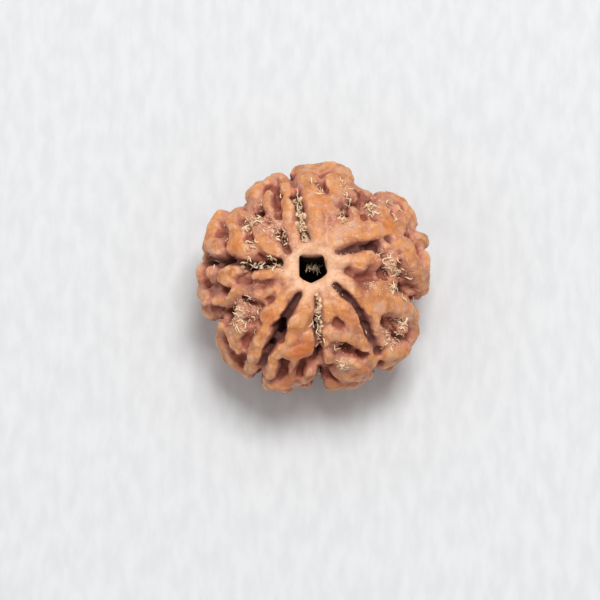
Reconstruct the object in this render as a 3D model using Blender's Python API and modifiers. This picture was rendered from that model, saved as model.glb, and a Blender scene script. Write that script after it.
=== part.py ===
"""Rudraksha seed: one woody stone with six seams, a knotted net of ridges and a channel through its middle.

The crown's ridges, seams and pits are drawn as seen from above and a little in front, in millimetres right
of the channel and up from it. The sides and the underside, which that view doesn't reach, grow by a rule.
"""

import math
import random

import bmesh
import bpy
import numpy as np
from mathutils import Matrix, Vector, noise
from mathutils.kdtree import KDTree

MM = 0.001

# The stone under its ridges, in millimetres: a rounded, slightly flattened body about its own centre.
STONE_REACH = 10.5
STONE_RISE = 8.1
STONE_POWER = 2.35
STONE_SUBDIVISIONS = 7
POLE_DIP = 0.9
POLE_DIP_REACH = 2.4

# Where the stone's side swells or draws in: bearing and spread in degrees, height in millimetres.
SWELLS = (
    (8, 12, 0.9),
    (24, 3, -0.8),
    (34, 10, 0.9),
    (60, 10, -1.3),
    (77, 9, 0.7),
    (103, 4, -1.6),
    (114, 9, 0.1),
    (136, 6, -2.0),
    (156, 11, 0.6),
    (188, 12, 0.4),
    (206, 5, -2.1),
    (229, 12, 0.8),
    (251, 10, 0.8),
    (274, 4, -1.8),
    (292, 8, 0.5),
    (316, 14, 1.1),
    (344, 7, -1.7),
)

# The crown's drawing: its view, the level of the channel's rim, and the channel's place ahead of the centre.
VIEW_ELEVATION = math.radians(76)
RIM_LEVEL = 7.45
CHANNEL_AHEAD = 1.0
SIGHT_START = 12.0
SIGHT_END = -22.0
SIGHT_STEP = 0.02

# A seam is a narrow furrow in a broader dip, deeper on the flank. Both fade out near the channel.
FURROW_DEPTH = 1.4
FURROW_REACH = 0.48
FLANK_FURROW_DEPTH = 1.2
DIP_DEPTH = 0.5
DIP_REACH = 1.3
FURROW_START = 3.5
FURROW_START_POWER = 4
SEAM_END = math.radians(165)
SEAM_SWAY = 0.06
SEAM_SWAYS = 0.75
SEAM_STEPS = 8

# Ridges: a crown's height over the stone is the base, and the rest for each millimetre of half width.
CREST_BASE = 0.62
CREST_PER_WIDTH = 0.42
DRAWN_SPREAD = 1.15
ROOT_DROP = 0.6
PATH_STEP = 0.3
RIDGE_SIDES = 2
RIDGE_PLUMPNESS = 1.2
WIDTH_WAVE = 0.2
WIDTH_WAVE_LENGTH = 1.1
CAP_STEPS = (0.45, 0.8, 0.97)

# The channel's corners, seen along its axis, and the smooth collar round both of its mouths.
CHANNEL_CORNERS = ((-1.32, 1.28), (1.02, 1.3), (1.46, -0.42), (-0.2, -1.5), (-1.32, -0.8))
CHANNEL_HALF_LENGTH = 15.0
COLLAR_REACH = 2.35
COLLAR_WAVE = 0.12
COLLAR_WAVES = 5
COLLAR_WIDTH = 0.95
COLLAR_LEVEL = -0.3
COLLAR_POINTS = 48

# Broken shoulders beside each seam, with a spur on each piece.
SHOULDER_SEED = 41
SHOULDER_GAP = 0.42
SHOULDER_WIDTHS = (0.55, 0.9)
SHOULDER_END = 0.8
SHOULDER_STEPS = (8, 15)
SHORTEST_SHOULDER = 5
SHOULDER_BREAK = 2
SHOULDER_CLEAR_OF_CHANNEL = 4.0
SHOULDER_CLEAR_OF_DRAWN = 1.1
SPUR_REACH = (1.5, 2.2)
SPUR_DRIFT = 1.0

# The net of knots and links on the sides and the underside.
NET_SEED = 7
NET_SPACING = 2.15
NET_JITTER = 0.45
NET_WIDTHS = (0.45, 0.8)
GOLDEN_ANGLE = math.pi * (3 - math.sqrt(5))
NET_CLEAR_OF_RIDGES = 1.1
NET_CLEAR_OF_SEAM = 0.8
NET_CLEAR_OF_CHANNEL = 3.0
LINK_REACH = 3.1
LINKS_PER_KNOT = (1, 2, 2, 3)
LINK_WAIST = 0.8
LINK_BEND = 0.35
LINK_CLEAR_OF_SEAM = 0.2
KNOT_LENGTH = 0.2

# Ground between ridges sinks away from them, and more in the drawn valleys.
HOLLOW_DEPTH = 0.35
FLANK_HOLLOW_DEPTH = 0.55
HOLLOW_REACH = 1.1
VALLEY_DEPTH = 0.6
VALLEY_REACH = 0.85

# Wood fills the ground beside each ridge, fading out between two numbers of half widths from its middle
# line, and meets the next ridge's in a crease. It rises less on the flank.
FILL_RISE = 0.8
FLANK_FILL_LOSS = 0.78
FILL_FROM = 1.2
FILL_TO = 2.6
FILL_CLEAR_OF_SEAM = 0.7
BORDER_SEARCH = 2.4
BORDER_REACH = 0.22
BORDER_SINK = 0.85
JOINED_GAP = 0.8

# Handling has worn the crown's ridges down towards a level, more and more between two shares of the rise.
CROWN_LEVEL = 0.6
CROWN_KEPT = 0.45
CROWN_START = 0.3
CROWN_END = 0.75

# Fusing and finish of the surface.
VOXEL = 0.22
SMOOTH_TIMES = 2
SMOOTH_FACTOR = 0.5
UNEVEN_LENGTH = 1.3
UNEVEN_HEIGHT = 0.22
UNEVEN_OCTAVES = 2
UNEVEN_SEED = 1796087486
FACE_BUDGET = 11200
WELD_DISTANCE = 1e-7

# The lowest crowns are worn flat where the stone rests, at this distance below its centre.
SEAT_DEPTH = 8.4
GROUND_SIZE = 40.0

WOOD_COLOUR = (0.48, 0.21, 0.085, 1.0)
WOOD_ROUGHNESS = 0.55

# Seams from beside the channel to the edge of the view, as (right, up).
SEAMS = {
    "upper": ((-0.45, 2.9), (-0.85, 4.0), (-1.2, 5.5), (-1.55, 7.0), (-1.85, 8.4), (-2.15, 9.6)),
    "upper_right": ((2.2, 1.6), (3.3, 1.85), (4.6, 2.25), (6.0, 2.35), (7.3, 2.75), (9.5, 3.45)),
    "lower_right": ((2.3, -1.7), (3.2, -2.4), (4.2, -3.6), (5.0, -4.8), (5.8, -6.8), (6.8, -9.7)),
    "lower": ((0.5, -1.9), (0.5, -3.5), (0.5, -5.0), (0.65, -6.5), (0.6, -7.8), (0.6, -10.3)),
    "lower_left": ((-1.5, -2.4), (-2.3, -4.0), (-3.1, -5.3), (-3.8, -7.0), (-4.5, -8.5), (-5.25, -10.5)),
    "left": ((-3.2, 0.65), (-4.5, 0.6), (-6.0, 0.45), (-7.5, 0.6), (-9.0, 0.8), (-10.9, 1.0)),
}

# Broad valleys of rough ground between the seams, as (right, up).
VALLEYS = {
    "upper_left": ((-2.2, 2.1), (-3.2, 3.3), (-4.2, 4.6), (-5.6, 5.4), (-6.9, 5.9)),
    "upper_right": ((1.9, 4.6), (2.7, 5.4), (3.4, 6.4), (4.6, 6.8), (5.8, 6.4), (6.2, 7.2)),
    "right": ((6.7, 1.2), (7.3, 0.2), (8.6, -0.4), (8.2, -1.7), (8.7, -2.7), (9.7, -3.2)),
    "lower_right": ((7.0, -5.4), (8.0, -6.2), (8.9, -6.4)),
    "lower_left": ((-5.6, -1.8), (-6.2, -3.2), (-7.0, -4.5), (-9.0, -4.9)),
}

# Pits, as (right, up, reach, depth).
PITS = (
    (0.7, 8.3, 0.7, 0.8),
    (2.9, 8.9, 0.65, 0.5),
    (4.7, 5.2, 0.4, 0.6),
    (8.2, 5.6, 0.8, 0.8),
    (6.2, 5.2, 0.45, 0.6),
    (7.3, 6.2, 0.5, 0.4),
    (10.5, 2.3, 0.6, 0.7),
    (10.75, 0.9, 0.4, 0.6),
    (5.6, -0.7, 1.0, 0.35),
    (7.6, -5.6, 0.65, 0.5),
    (2.4, -5.4, 0.65, 0.7),
    (3.2, -8.2, 0.9, 1.5),
    (2.1, -10.1, 1.0, 1.6),
    (4.9, -8.4, 0.5, 0.6),
    (-2.75, -9.4, 0.65, 1.1),
    (-3.1, -10.4, 0.6, 1.0),
    (-1.2, -9.9, 0.65, 1.2),
    (-7.1, -8.8, 0.6, 1.1),
    (-5.7, -7.3, 0.25, 0.5),
    (-5.6, -1.8, 0.65, 0.9),
    (-7.1, -1.1, 0.6, 0.9),
    (-8.9, -2.1, 0.5, 0.9),
    (-10.4, -1.45, 0.5, 0.6),
    (-10.0, -3.6, 0.5, 0.8),
    (-8.6, 4.1, 0.5, 1.0),
    (-4.2, 4.7, 0.5, 0.6),
    (-3.7, 8.6, 0.3, 0.5),
    (-3.4, 7.5, 0.3, 0.5),
    (-6.2, 3.2, 0.3, 0.5),
)
PIT_LEVEL = 0.3

# Narrow grooves between the crown's ridges: depth and reach, then points as (right, up).
GROOVES = (
    (0.5, 0.3, ((-8.55, 4.7), (-8.3, 3.7), (-8.7, 2.9), (-8.6, 1.65), (-8.3, 1.0))),
    (0.5, 0.3, ((-6.8, 4.2), (-6.05, 3.2), (-5.9, 2.05), (-5.5, 1.4))),
    (0.5, 0.35, ((-4.25, 4.7), (-3.4, 3.7), (-2.85, 2.9), (-2.2, 1.95))),
    (0.45, 0.3, ((-3.4, 6.9), (-3.4, 5.4), (-4.0, 4.5))),
    (0.4, 0.3, ((-5.5, 7.0), (-5.0, 5.7), (-4.65, 5.4))),
    (0.4, 0.25, ((-3.75, 8.7), (-3.4, 7.5), (-3.0, 7.2))),
    (0.45, 0.3, ((-8.0, 4.7), (-6.65, 4.55), (-5.5, 4.4))),
    (0.45, 0.35, ((3.35, 7.0), (2.6, 6.3), (1.7, 5.2), (1.3, 4.0))),
    (0.4, 0.3, ((0.85, 8.6), (0.85, 7.55))),
    (0.3, 0.2, ((8.4, 4.95), (9.15, 4.4), (9.75, 4.15))),
    (0.4, 0.3, ((7.6, 6.3), (7.6, 5.6), (8.15, 5.0))),
    (0.5, 0.3, ((6.2, 5.75), (6.2, 4.6))),
    (0.5, 0.25, ((9.75, 2.8), (9.85, 2.1))),
    (0.5, 0.35, ((6.65, 1.9), (7.55, 1.4), (8.5, 1.55))),
    (0.5, 0.3, ((6.2, 1.65), (7.0, 0.85))),
    (0.5, 0.4, ((6.9, 0.1), (7.6, -0.5), (8.0, -0.75), (9.05, -0.95))),
    (0.5, 0.35, ((6.8, -5.25), (7.6, -6.15), (8.4, -6.5))),
    (0.6, 0.35, ((1.1, -5.25), (2.0, -5.15), (2.8, -5.7))),
    (0.6, 0.35, ((3.3, -7.5), (4.05, -7.9), (4.75, -8.4))),
    (0.6, 0.4, ((1.3, -7.6), (2.1, -7.9))),
    (0.4, 0.3, ((6.7, -7.4), (6.4, -8.0))),
    (0.5, 0.25, ((-10.6, 0.2), (-10.7, -0.7), (-10.55, -1.3))),
    (0.5, 0.25, ((-9.4, 0.2), (-9.4, -0.8), (-9.2, -1.6))),
    (0.6, 0.3, ((-6.35, 0.0), (-6.45, -1.0), (-5.8, -1.5), (-5.6, -1.95))),
    (0.5, 0.25, ((-8.1, -0.9), (-6.8, -1.05))),
    (0.5, 0.3, ((-5.35, -1.15), (-4.9, -1.6), (-4.0, -1.3), (-2.9, -1.4))),
    (0.5, 0.3, ((-5.35, -3.3), (-4.65, -3.3), (-4.0, -2.9), (-3.1, -2.3))),
    (0.5, 0.35, ((-11.1, -1.5), (-9.9, -1.5))),
    (0.5, 0.35, ((-9.1, -1.95), (-8.1, -2.05))),
    (0.5, 0.3, ((-10.35, -3.2), (-9.8, -3.8), (-9.2, -3.8))),
    (0.5, 0.25, ((-8.5, -6.5), (-8.1, -7.6), (-7.25, -8.65), (-6.7, -8.45), (-6.6, -7.6))),
    (0.5, 0.35, ((-3.65, -8.65), (-2.95, -9.25), (-2.7, -10.25))),
    (0.5, 0.35, ((-1.1, -9.0), (-1.35, -10.4), (-1.45, -11.05))),
    (0.7, 0.3, ((-8.5, 6.2), (-8.5, 5.4), (-8.5, 4.7))),
)
GROOVE_SEARCH = 8.0
SEAM_PRESS = 0.6
SEAM_PRESS_REACH = 0.3

# Ridges, as rows of (right, up, half width).
RIDGES = {
    # between the upper seam and the upper right one
    "a_wedge": ((0.65, 2.7, 0.7), (0.6, 4.4, 1.0), (0.25, 6.2, 1.15), (-0.25, 7.8, 1.0), (-0.75, 9.2, 1.0)),
    "a_branch": ((0.9, 5.0, 0.9), (1.6, 6.3, 1.0), (2.5, 7.35, 0.8)),
    "a_brow": ((-1.35, 9.75, 0.7), (-0.6, 9.8, 0.7), (0.5, 9.75, 0.7), (1.9, 10.0, 0.85), (3.1, 9.5, 0.75)),
    "a_brow_end": ((3.1, 9.7, 0.7), (3.25, 8.9, 0.6)),
    "a_brow_tail": ((3.1, 8.4, 0.5), (4.3, 7.9, 0.55), (5.4, 7.35, 0.55)),
    "a_shoulder": ((2.2, 2.7, 0.75), (3.8, 3.2, 0.8), (5.5, 3.75, 0.9), (7.2, 4.25, 0.95), (8.4, 4.3, 0.8)),
    "a_shoulder_branch": ((7.0, 4.9, 0.8), (7.0, 5.9, 0.6), (7.2, 7.0, 0.8)),
    "a_loop": ((7.4, 7.0, 0.75), (8.6, 6.6, 0.7), (9.4, 5.7, 0.7), (9.75, 4.7, 0.6), (9.2, 4.0, 0.5)),
    "a_bead": ((4.1, 5.7, 0.5), (4.5, 4.9, 0.4)),
    "a_fan": ((2.1, 3.5, 0.7), (3.2, 4.4, 0.6)),
    "a_crumb": ((5.5, 5.6, 0.5), (5.9, 6.1, 0.35)),
    # between the upper right seam and the lower right one
    "b_pad": ((2.7, 0.75, 0.6), (4.2, 0.95, 0.85), (5.6, 0.95, 0.9), (6.2, 0.8, 0.7)),
    "b_upper": ((7.3, 2.35, 0.5), (8.5, 2.45, 0.7), (9.3, 2.5, 0.6)),
    "b_corner": ((10.3, 2.95, 0.6), (11.1, 2.9, 0.65)),
    "b_spine": ((9.2, 1.8, 0.75), (9.75, 0.9, 0.8), (10.4, -0.2, 0.7), (10.5, -1.4, 0.6), (9.0, -2.6, 0.5)),
    "b_edge": ((11.15, 1.4, 0.45), (11.2, 0.6, 0.5), (11.2, -0.5, 0.5)),
    "b_knot": ((8.1, 1.3, 0.45), (7.7, 0.6, 0.35)),
    "b_shoulder": ((2.7, -0.8, 0.5), (3.9, -1.8, 0.6), (4.8, -3.0, 0.65), (6.0, -4.6, 0.7)),
    "b_plateau": ((5.6, -2.7, 0.8), (7.0, -3.4, 1.0), (8.5, -3.7, 0.95), (9.7, -4.8, 0.8), (9.8, -6.7, 0.7)),
    "b_toe": ((6.4, -6.0, 0.6), (6.7, -7.2, 0.6)),
    "b_foot": ((7.3, -8.1, 0.8), (8.3, -8.2, 0.85), (9.1, -7.8, 0.75)),
    "b_heel": ((7.3, -9.2, 0.6), (8.1, -8.9, 0.6)),
    # between the lower right seam and the lower one
    "c_inner": ((1.55, -2.9, 0.75), (1.6, -3.9, 0.8), (1.45, -5.0, 0.6)),
    "c_crescent": ((2.3, -3.1, 0.8), (3.4, -4.2, 0.9), (4.1, -5.4, 0.8), (4.9, -7.5, 0.6)),
    "c_cross": ((1.6, -6.4, 0.5), (2.7, -6.4, 0.6), (3.9, -7.0, 0.65)),
    "c_bead": ((1.3, -7.3, 0.5), (1.4, -7.7, 0.4)),
    "c_bridge": ((2.4, -8.0, 0.4), (1.6, -8.7, 0.7), (0.8, -9.3, 0.55)),
    "c_lobe": ((5.8, -8.3, 0.5), (5.6, -9.3, 0.7), (4.9, -9.8, 0.85), (4.2, -9.3, 0.6)),
    "c_lobe_low": ((4.2, -10.5, 0.65), (5.3, -10.4, 0.6)),
    "c_sill": ((1.5, -10.7, 0.45), (2.4, -11.2, 0.5), (3.5, -11.3, 0.55), (4.7, -11.2, 0.5)),
    # between the lower seam and the lower left one
    "d_tongue": ((-0.3, -2.5, 0.55), (-0.8, -4.0, 0.75), (-1.5, -5.2, 0.85), (-2.1, -7.0, 0.55)),
    "d_head": ((-0.5, -6.6, 0.6), (-0.7, -7.6, 0.85), (-1.8, -8.2, 0.75), (-3.2, -8.0, 0.6)),
    "d_leg_left": ((-3.6, -8.6, 0.5), (-4.1, -9.4, 0.6), (-4.2, -10.2, 0.6)),
    "d_leg_middle": ((-1.9, -9.0, 0.45), (-2.1, -9.9, 0.45), (-2.25, -10.8, 0.55)),
    "d_leg_right": ((0.3, -9.4, 0.5), (-0.4, -10.1, 0.55)),
    "d_base_left": ((-4.6, -10.9, 0.45), (-3.6, -11.3, 0.6), (-2.9, -11.3, 0.5)),
    "d_base_right": ((-1.8, -11.4, 0.55), (-0.9, -10.9, 0.5)),
    # between the lower left seam and the left one
    "e_shoulder": ((-2.0, -1.9, 0.5), (-3.0, -3.0, 0.6), (-4.0, -4.2, 0.75), (-4.5, -4.8, 0.6)),
    "e_outer": ((-4.8, -6.3, 0.65), (-5.5, -7.4, 0.65), (-5.8, -8.6, 0.65), (-6.1, -9.8, 0.6)),
    "e_tongue": ((-8.2, -6.4, 0.6), (-7.6, -7.3, 0.7), (-7.2, -8.0, 0.5)),
    "e_rim": ((-9.0, -5.6, 0.45), (-9.1, -7.2, 0.5), (-8.7, -8.5, 0.5), (-7.9, -9.4, 0.5)),
    "e_finger_upper": ((-2.6, -0.4, 0.5), (-4.0, -0.6, 0.55), (-5.5, -0.7, 0.55)),
    "e_finger_lower": ((-3.0, -1.3, 0.4), (-4.2, -2.2, 0.45), (-5.0, -2.9, 0.42)),
    "e_knob": ((-7.9, -0.2, 0.75), (-8.5, -0.8, 0.75)),
    "e_side_knob": ((-10.0, -0.3, 0.6), (-9.9, -0.8, 0.5)),
    "e_side": ((-11.0, 0.2, 0.65), (-11.1, -0.9, 0.45), (-11.15, -2.0, 0.5), (-10.6, -2.9, 0.6)),
    "e_bridge": ((-9.6, -3.1, 0.4), (-8.4, -3.1, 0.5), (-7.6, -2.2, 0.65), (-6.8, -1.9, 0.5)),
    "e_low_rim": ((-10.7, -3.8, 0.6), (-10.1, -4.2, 0.55), (-9.4, -4.3, 0.5)),
    # between the left seam and the upper one
    "f_oval": ((-3.4, 1.7, 0.55), (-4.3, 2.4, 0.85), (-5.2, 3.1, 0.75)),
    "f_knob": ((-6.7, 1.9, 0.8), (-7.5, 2.4, 1.0), (-7.4, 3.3, 0.8)),
    "f_side": ((-9.4, 1.75, 0.75), (-10.15, 2.8, 0.75), (-9.9, 4.1, 0.7), (-9.35, 5.6, 0.5)),
    "f_spike": ((-7.95, 5.7, 0.35), (-7.0, 5.3, 0.5), (-6.0, 4.8, 0.5)),
    "f_outer": ((-6.0, 6.3, 0.6), (-6.0, 7.4, 0.7), (-5.5, 8.2, 0.65)),
    "f_inner": ((-4.3, 7.4, 0.5), (-4.6, 6.5, 0.5), (-4.4, 5.9, 0.4)),
    "f_brow": ((-4.4, 8.7, 0.5), (-3.3, 9.2, 0.6), (-2.7, 8.5, 0.6), (-2.5, 7.8, 0.5)),
    "f_shoulder": ((-1.9, 2.6, 0.45), (-2.1, 4.0, 0.6), (-2.4, 5.5, 0.65), (-2.8, 6.7, 0.5)),
}


def side_swell(direction):
    """How far the side swells at each unit direction's bearing round the stone."""
    bearing = np.degrees(np.arctan2(direction[..., 1], direction[..., 0]))
    swell = np.zeros(bearing.shape)
    for centre, spread, height in SWELLS:
        away = (bearing - centre + 180) % 360 - 180
        swell += height * np.exp(-((away / spread) ** 2))
    return swell * (direction[..., 0] ** 2 + direction[..., 1] ** 2)


def stone_radius(direction):
    """The stone's radius along unit directions, before any furrow."""
    across = np.hypot(direction[..., 0], direction[..., 1]) / (STONE_REACH + side_swell(direction))
    along = np.abs(direction[..., 2]) / STONE_RISE
    radius = (across**STONE_POWER + along**STONE_POWER) ** (-1 / STONE_POWER)
    gap = np.hypot(direction[..., 0] * radius, direction[..., 1] * radius + CHANNEL_AHEAD)
    return radius - POLE_DIP * np.exp(-((gap / POLE_DIP_REACH) ** 2))


def from_channel(points):
    """The distance of a point, or of each of several, from the channel's axis."""
    points = np.asarray(points, float)
    return np.hypot(points[..., 0], points[..., 1] + CHANNEL_AHEAD)


def outward(points):
    """Unit directions from the stone's centre through the points."""
    points = np.asarray(points, float)
    return points / np.linalg.norm(points, axis=-1, keepdims=True)


def lifted(points, height):
    """The points moved along the lines to the centre, to that height above the stone."""
    direction = outward(points)
    return direction * (stone_radius(direction) + height)[..., None]


def crest(width):
    """How far the middle line of a ridge of that half width stands above the stone."""
    return CREST_BASE + (CREST_PER_WIDTH - 1) * np.asarray(width)


def seen_point(right, up, height):
    """The point that the drawing shows there, at that height above the stone, or the nearest to it."""
    sine = math.sin(VIEW_ELEVATION)
    cosine = math.cos(VIEW_ELEVATION)
    level = np.array((right, up * sine - CHANNEL_AHEAD, up * cosine + RIM_LEVEL))
    depth = np.arange(SIGHT_START, SIGHT_END, -SIGHT_STEP)
    line = level + depth[:, None] * np.array((0.0, -cosine, sine))
    distance = np.linalg.norm(line, axis=1)
    over = distance - stone_radius(line / distance[:, None]) - height
    inside = np.flatnonzero(over <= 0)
    return line[inside[0]] if len(inside) else line[np.argmin(over)]


def flank_point(bearing, fall):
    """A point on the stone by its bearing and its fall from the crown's pole, both in radians."""
    ring = STONE_REACH * math.sin(fall)
    ahead = CHANNEL_AHEAD * abs(math.cos(fall))
    level = STONE_RISE * math.cos(fall)
    return lifted((ring * math.cos(bearing), ring * math.sin(bearing) - ahead, level), 0.0)


def smooth_path(rows):
    """A Catmull-Rom path through rows of numbers, in steps of about PATH_STEP."""
    rows = np.asarray(rows, float)
    ends = np.vstack((2 * rows[0] - rows[1], rows, 2 * rows[-1] - rows[-2]))
    path = [rows[0]]
    for a, b, c, d in zip(ends, ends[1:], ends[2:], ends[3:]):
        steps = max(1, round(float(np.linalg.norm((c - b)[:3])) / PATH_STEP))
        for t in np.arange(1, steps + 1) / steps:
            curve = 2 * b + (c - a) * t + (2 * a - 5 * b + 4 * c - d) * t**2 + (3 * b - a - 3 * c + d) * t**3
            path.append(curve / 2)
    return np.array(path)


def tree_of(points):
    """A search tree for the nearest of the points."""
    tree = KDTree(len(points))
    for index, point in enumerate(points):
        tree.insert(Vector(point[:3]), index)
    tree.balance()
    return tree


def gap_to(tree, point):
    """The distance from the point to the tree's nearest one."""
    return tree.find(Vector(point[:3]))[2]


def gaps_to(tree, points):
    """The distance from each point to the tree's nearest one."""
    return np.array([tree.find(point)[2] for point in points])


def drawn_ridge(name):
    """The middle line of a drawn ridge, as rows of x, y, z and half width."""
    rows = []
    for right, up, width in RIDGES[name]:
        width *= DRAWN_SPREAD
        rows.append((*seen_point(right, up, crest(width)), width))
    return smooth_path(rows)


def seam_path(name):
    """A seam's line on the stone, from beside the channel over the crown and down to the underside."""
    rows = [seen_point(right, up, 0.0) for right, up in SEAMS[name]]
    x, y, z = rows[-1]
    fall = math.atan2(math.hypot(x, y) / STONE_REACH, z / STONE_RISE)
    bearing = math.atan2(y, x)
    sway = random.Random(name).uniform(-SEAM_SWAY, SEAM_SWAY)
    for step in range(1, SEAM_STEPS + 1):
        share = step / SEAM_STEPS
        turn = sway * math.sin(SEAM_SWAYS * math.tau * share)
        rows.append(flank_point(bearing + turn, fall + (SEAM_END - fall) * share))
    return smooth_path(rows)


def sideways(path):
    """Unit directions along the stone's surface and across the path."""
    outward = path / np.linalg.norm(path, axis=1, keepdims=True)
    across = np.cross(np.gradient(path, axis=0), outward)
    return across / np.linalg.norm(across, axis=1, keepdims=True)


def shoulder_piece(stretch, side, width):
    """One piece of a shoulder, beside a stretch of a seam and thinner at its ends."""
    belly = np.sin(np.linspace(0.0, math.pi, len(stretch)))
    widths = width * (SHOULDER_END + (1 - SHOULDER_END) * belly)
    offset = stretch + sideways(stretch) * side * (widths + SHOULDER_GAP)[:, None]
    return np.column_stack((lifted(offset, crest(widths)), widths))


def spur(piece, side, chance):
    """A short ridge that leads away from the seam, from somewhere along a shoulder's piece."""
    root = chance.randrange(2, len(piece) - 2)
    start = piece[root]
    away = sideways(piece[:, :3])[root] * side
    along = piece[root + 1, :3] - piece[root - 1, :3]
    along /= np.linalg.norm(along)
    width = chance.uniform(*NET_WIDTHS)
    tip = start[:3] + away * chance.uniform(*SPUR_REACH) + along * chance.uniform(-SPUR_DRIFT, SPUR_DRIFT)
    tip = lifted(tip, crest(width))
    return smooth_path((start, (*tip, width)))


def shoulders(seams, drawn_tree):
    """Broken ridges beside each seam, with spurs, where the drawing doesn't reach."""
    chance = random.Random(SHOULDER_SEED)
    made = []
    for seam in seams:
        for side in (-1, 1):
            start = chance.randint(0, SHOULDER_STEPS[0])
            while start < len(seam) - SHORTEST_SHOULDER:
                stretch = seam[start : start + chance.randint(*SHOULDER_STEPS)]
                start += len(stretch) + SHOULDER_BREAK
                piece = shoulder_piece(stretch, side, chance.uniform(*SHOULDER_WIDTHS))
                clear = min(gap_to(drawn_tree, row) for row in piece) > SHOULDER_CLEAR_OF_DRAWN
                if clear and min(from_channel(row) for row in piece) > SHOULDER_CLEAR_OF_CHANNEL:
                    made.append(piece)
                    made.append(spur(piece, side, chance))
    return made


def net_knots(seam_tree, ridge_tree, chance):
    """Knots scattered evenly over the stone, clear of the seams, the channel and the other ridges."""
    count = round(4 * math.pi * STONE_REACH * STONE_RISE / (math.sqrt(0.75) * NET_SPACING**2))
    knots = []
    for index in range(count):
        level = 1 - (2 * index + 1) / count
        turn = index * GOLDEN_ANGLE
        ring = math.sqrt(1 - level * level)
        direction = np.array((ring * math.cos(turn), ring * math.sin(turn), level))
        jitter = [chance.gauss(0, NET_JITTER) for axis in direction]
        width = chance.uniform(*NET_WIDTHS)
        point = lifted(direction * STONE_REACH + jitter, crest(width))
        clear = gap_to(ridge_tree, point) > NET_CLEAR_OF_RIDGES
        clear = clear and gap_to(seam_tree, point) > NET_CLEAR_OF_SEAM + width
        if clear and from_channel(point) > NET_CLEAR_OF_CHANNEL:
            knots.append((*point, width))
    return np.array(knots)


def knot_path(row):
    """A knot as a ridge so short that it is nearly a ball."""
    level = np.cross(row[:3], (0.0, 0.0, 1.0))
    tip = row.copy()
    tip[:3] += level / np.linalg.norm(level) * KNOT_LENGTH
    return np.array((row, tip))


def net(seams, ridges):
    """Knots, and links from each to its nearest neighbours and to the ends of the other ridges."""
    chance = random.Random(NET_SEED)
    seam_tree = tree_of(np.vstack(seams))
    knots = net_knots(seam_tree, tree_of(np.vstack(ridges)), chance)
    ends = np.array([ridge[end] for ridge in ridges for end in (0, -1)])
    rows = np.vstack((knots, ends))
    tree = tree_of(rows)
    pairs = set()
    made = []
    for index, row in enumerate(knots):
        made.append(knot_path(row))
        for place, other, gap in tree.find_n(Vector(row[:3]), 1 + chance.choice(LINKS_PER_KNOT))[1:]:
            bend = [chance.uniform(-LINK_BEND, LINK_BEND) for axis in place]
            width = LINK_WAIST * (row[3] + rows[other, 3]) / 2
            middle = lifted((row[:3] + rows[other, :3]) / 2 + bend, crest(width))
            link = smooth_path((row, (*middle, width), rows[other]))
            pair = (min(index, other), max(index, other))
            clear = min(gap_to(seam_tree, step) - step[3] for step in link) > LINK_CLEAR_OF_SEAM
            if gap < LINK_REACH and pair not in pairs and clear:
                pairs.add(pair)
                made.append(link)
    return made


def collars():
    """A closed ring of wood round each mouth of the channel."""
    turns = np.linspace(0, math.tau, COLLAR_POINTS + 1)
    reach = COLLAR_REACH + COLLAR_WAVE * np.sin(COLLAR_WAVES * turns)
    made = []
    for level in (STONE_RISE, -STONE_RISE):
        levels = np.full(len(turns), level)
        widths = np.full(len(turns), COLLAR_WIDTH)
        ring = np.column_stack((reach * np.cos(turns), reach * np.sin(turns) - CHANNEL_AHEAD, levels))
        made.append(np.column_stack((lifted(ring, COLLAR_LEVEL), widths)))
    return made


def plumped(path):
    """The path with wider half widths, lowered so that its crown stays where it was."""
    length = np.linalg.norm(path[:, :3], axis=1, keepdims=True)
    drop = path[:, 3:] * (RIDGE_PLUMPNESS - 1)
    return np.column_stack((path[:, :3] * (1 - drop / length), path[:, 3] * RIDGE_PLUMPNESS))


def rooted(path):
    """The ridge's root: the same path, deeper in the stone."""
    length = np.linalg.norm(path[:, :3], axis=1, keepdims=True)
    return np.column_stack((path[:, :3] * (1 - ROOT_DROP / length), path[:, 3]))


def waved(path):
    """The path with its half widths varied a little along it."""
    path = path.copy()
    for row in path:
        row[3] *= 1 + WIDTH_WAVE * noise.noise(Vector(row[:3]) / WIDTH_WAVE_LENGTH)
    return path


def round_ended(path):
    """The path with three more rows past each end, where the ridge closes in a round cap."""
    caps = []
    for end, inner in ((0, 1), (-1, -2)):
        tip = path[end]
        away = tip[:3] - path[inner, :3]
        away *= tip[3] / np.linalg.norm(away)
        caps.append([(*(tip[:3] + away * step), tip[3] * math.sqrt(1 - step**2)) for step in CAP_STEPS])
    return np.vstack((caps[0][::-1], path, caps[1]))


def ridge_mesh(paths):
    """One mesh of closed round ridges, each swept along its path."""
    curve = bpy.data.curves.new("ridges", "CURVE")
    curve.dimensions = "3D"
    curve.bevel_depth = MM
    curve.bevel_resolution = RIDGE_SIDES
    curve.use_fill_caps = True
    for path in paths:
        rows = round_ended(waved(path))
        spline = curve.splines.new("POLY")
        spline.points.add(len(rows) - 1)
        for point, (x, y, z, width) in zip(spline.points, rows):
            point.co = (x * MM, y * MM, z * MM, 1.0)
            point.radius = width
    guide = bpy.data.objects.new("ridge_guide", curve)
    bpy.context.scene.collection.objects.link(guide)
    mesh = bpy.data.meshes.new_from_object(guide.evaluated_get(bpy.context.evaluated_depsgraph_get()))
    bpy.data.objects.remove(guide)
    return mesh


def bell(gap, reach):
    """One at no gap, falling smoothly to nearly nothing at twice the reach."""
    return np.exp(-((gap / reach) ** 2))


def smooth_step(share):
    """The share from nought to one, eased at both ends."""
    share = np.clip(share, 0.0, 1.0)
    return share * share * (3 - 2 * share)


def points_of(mesh):
    """The mesh's points in millimetres, one in each row."""
    points = np.empty(3 * len(mesh.vertices))
    mesh.vertices.foreach_get("co", points)
    return points.reshape(-1, 3) / MM


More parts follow.
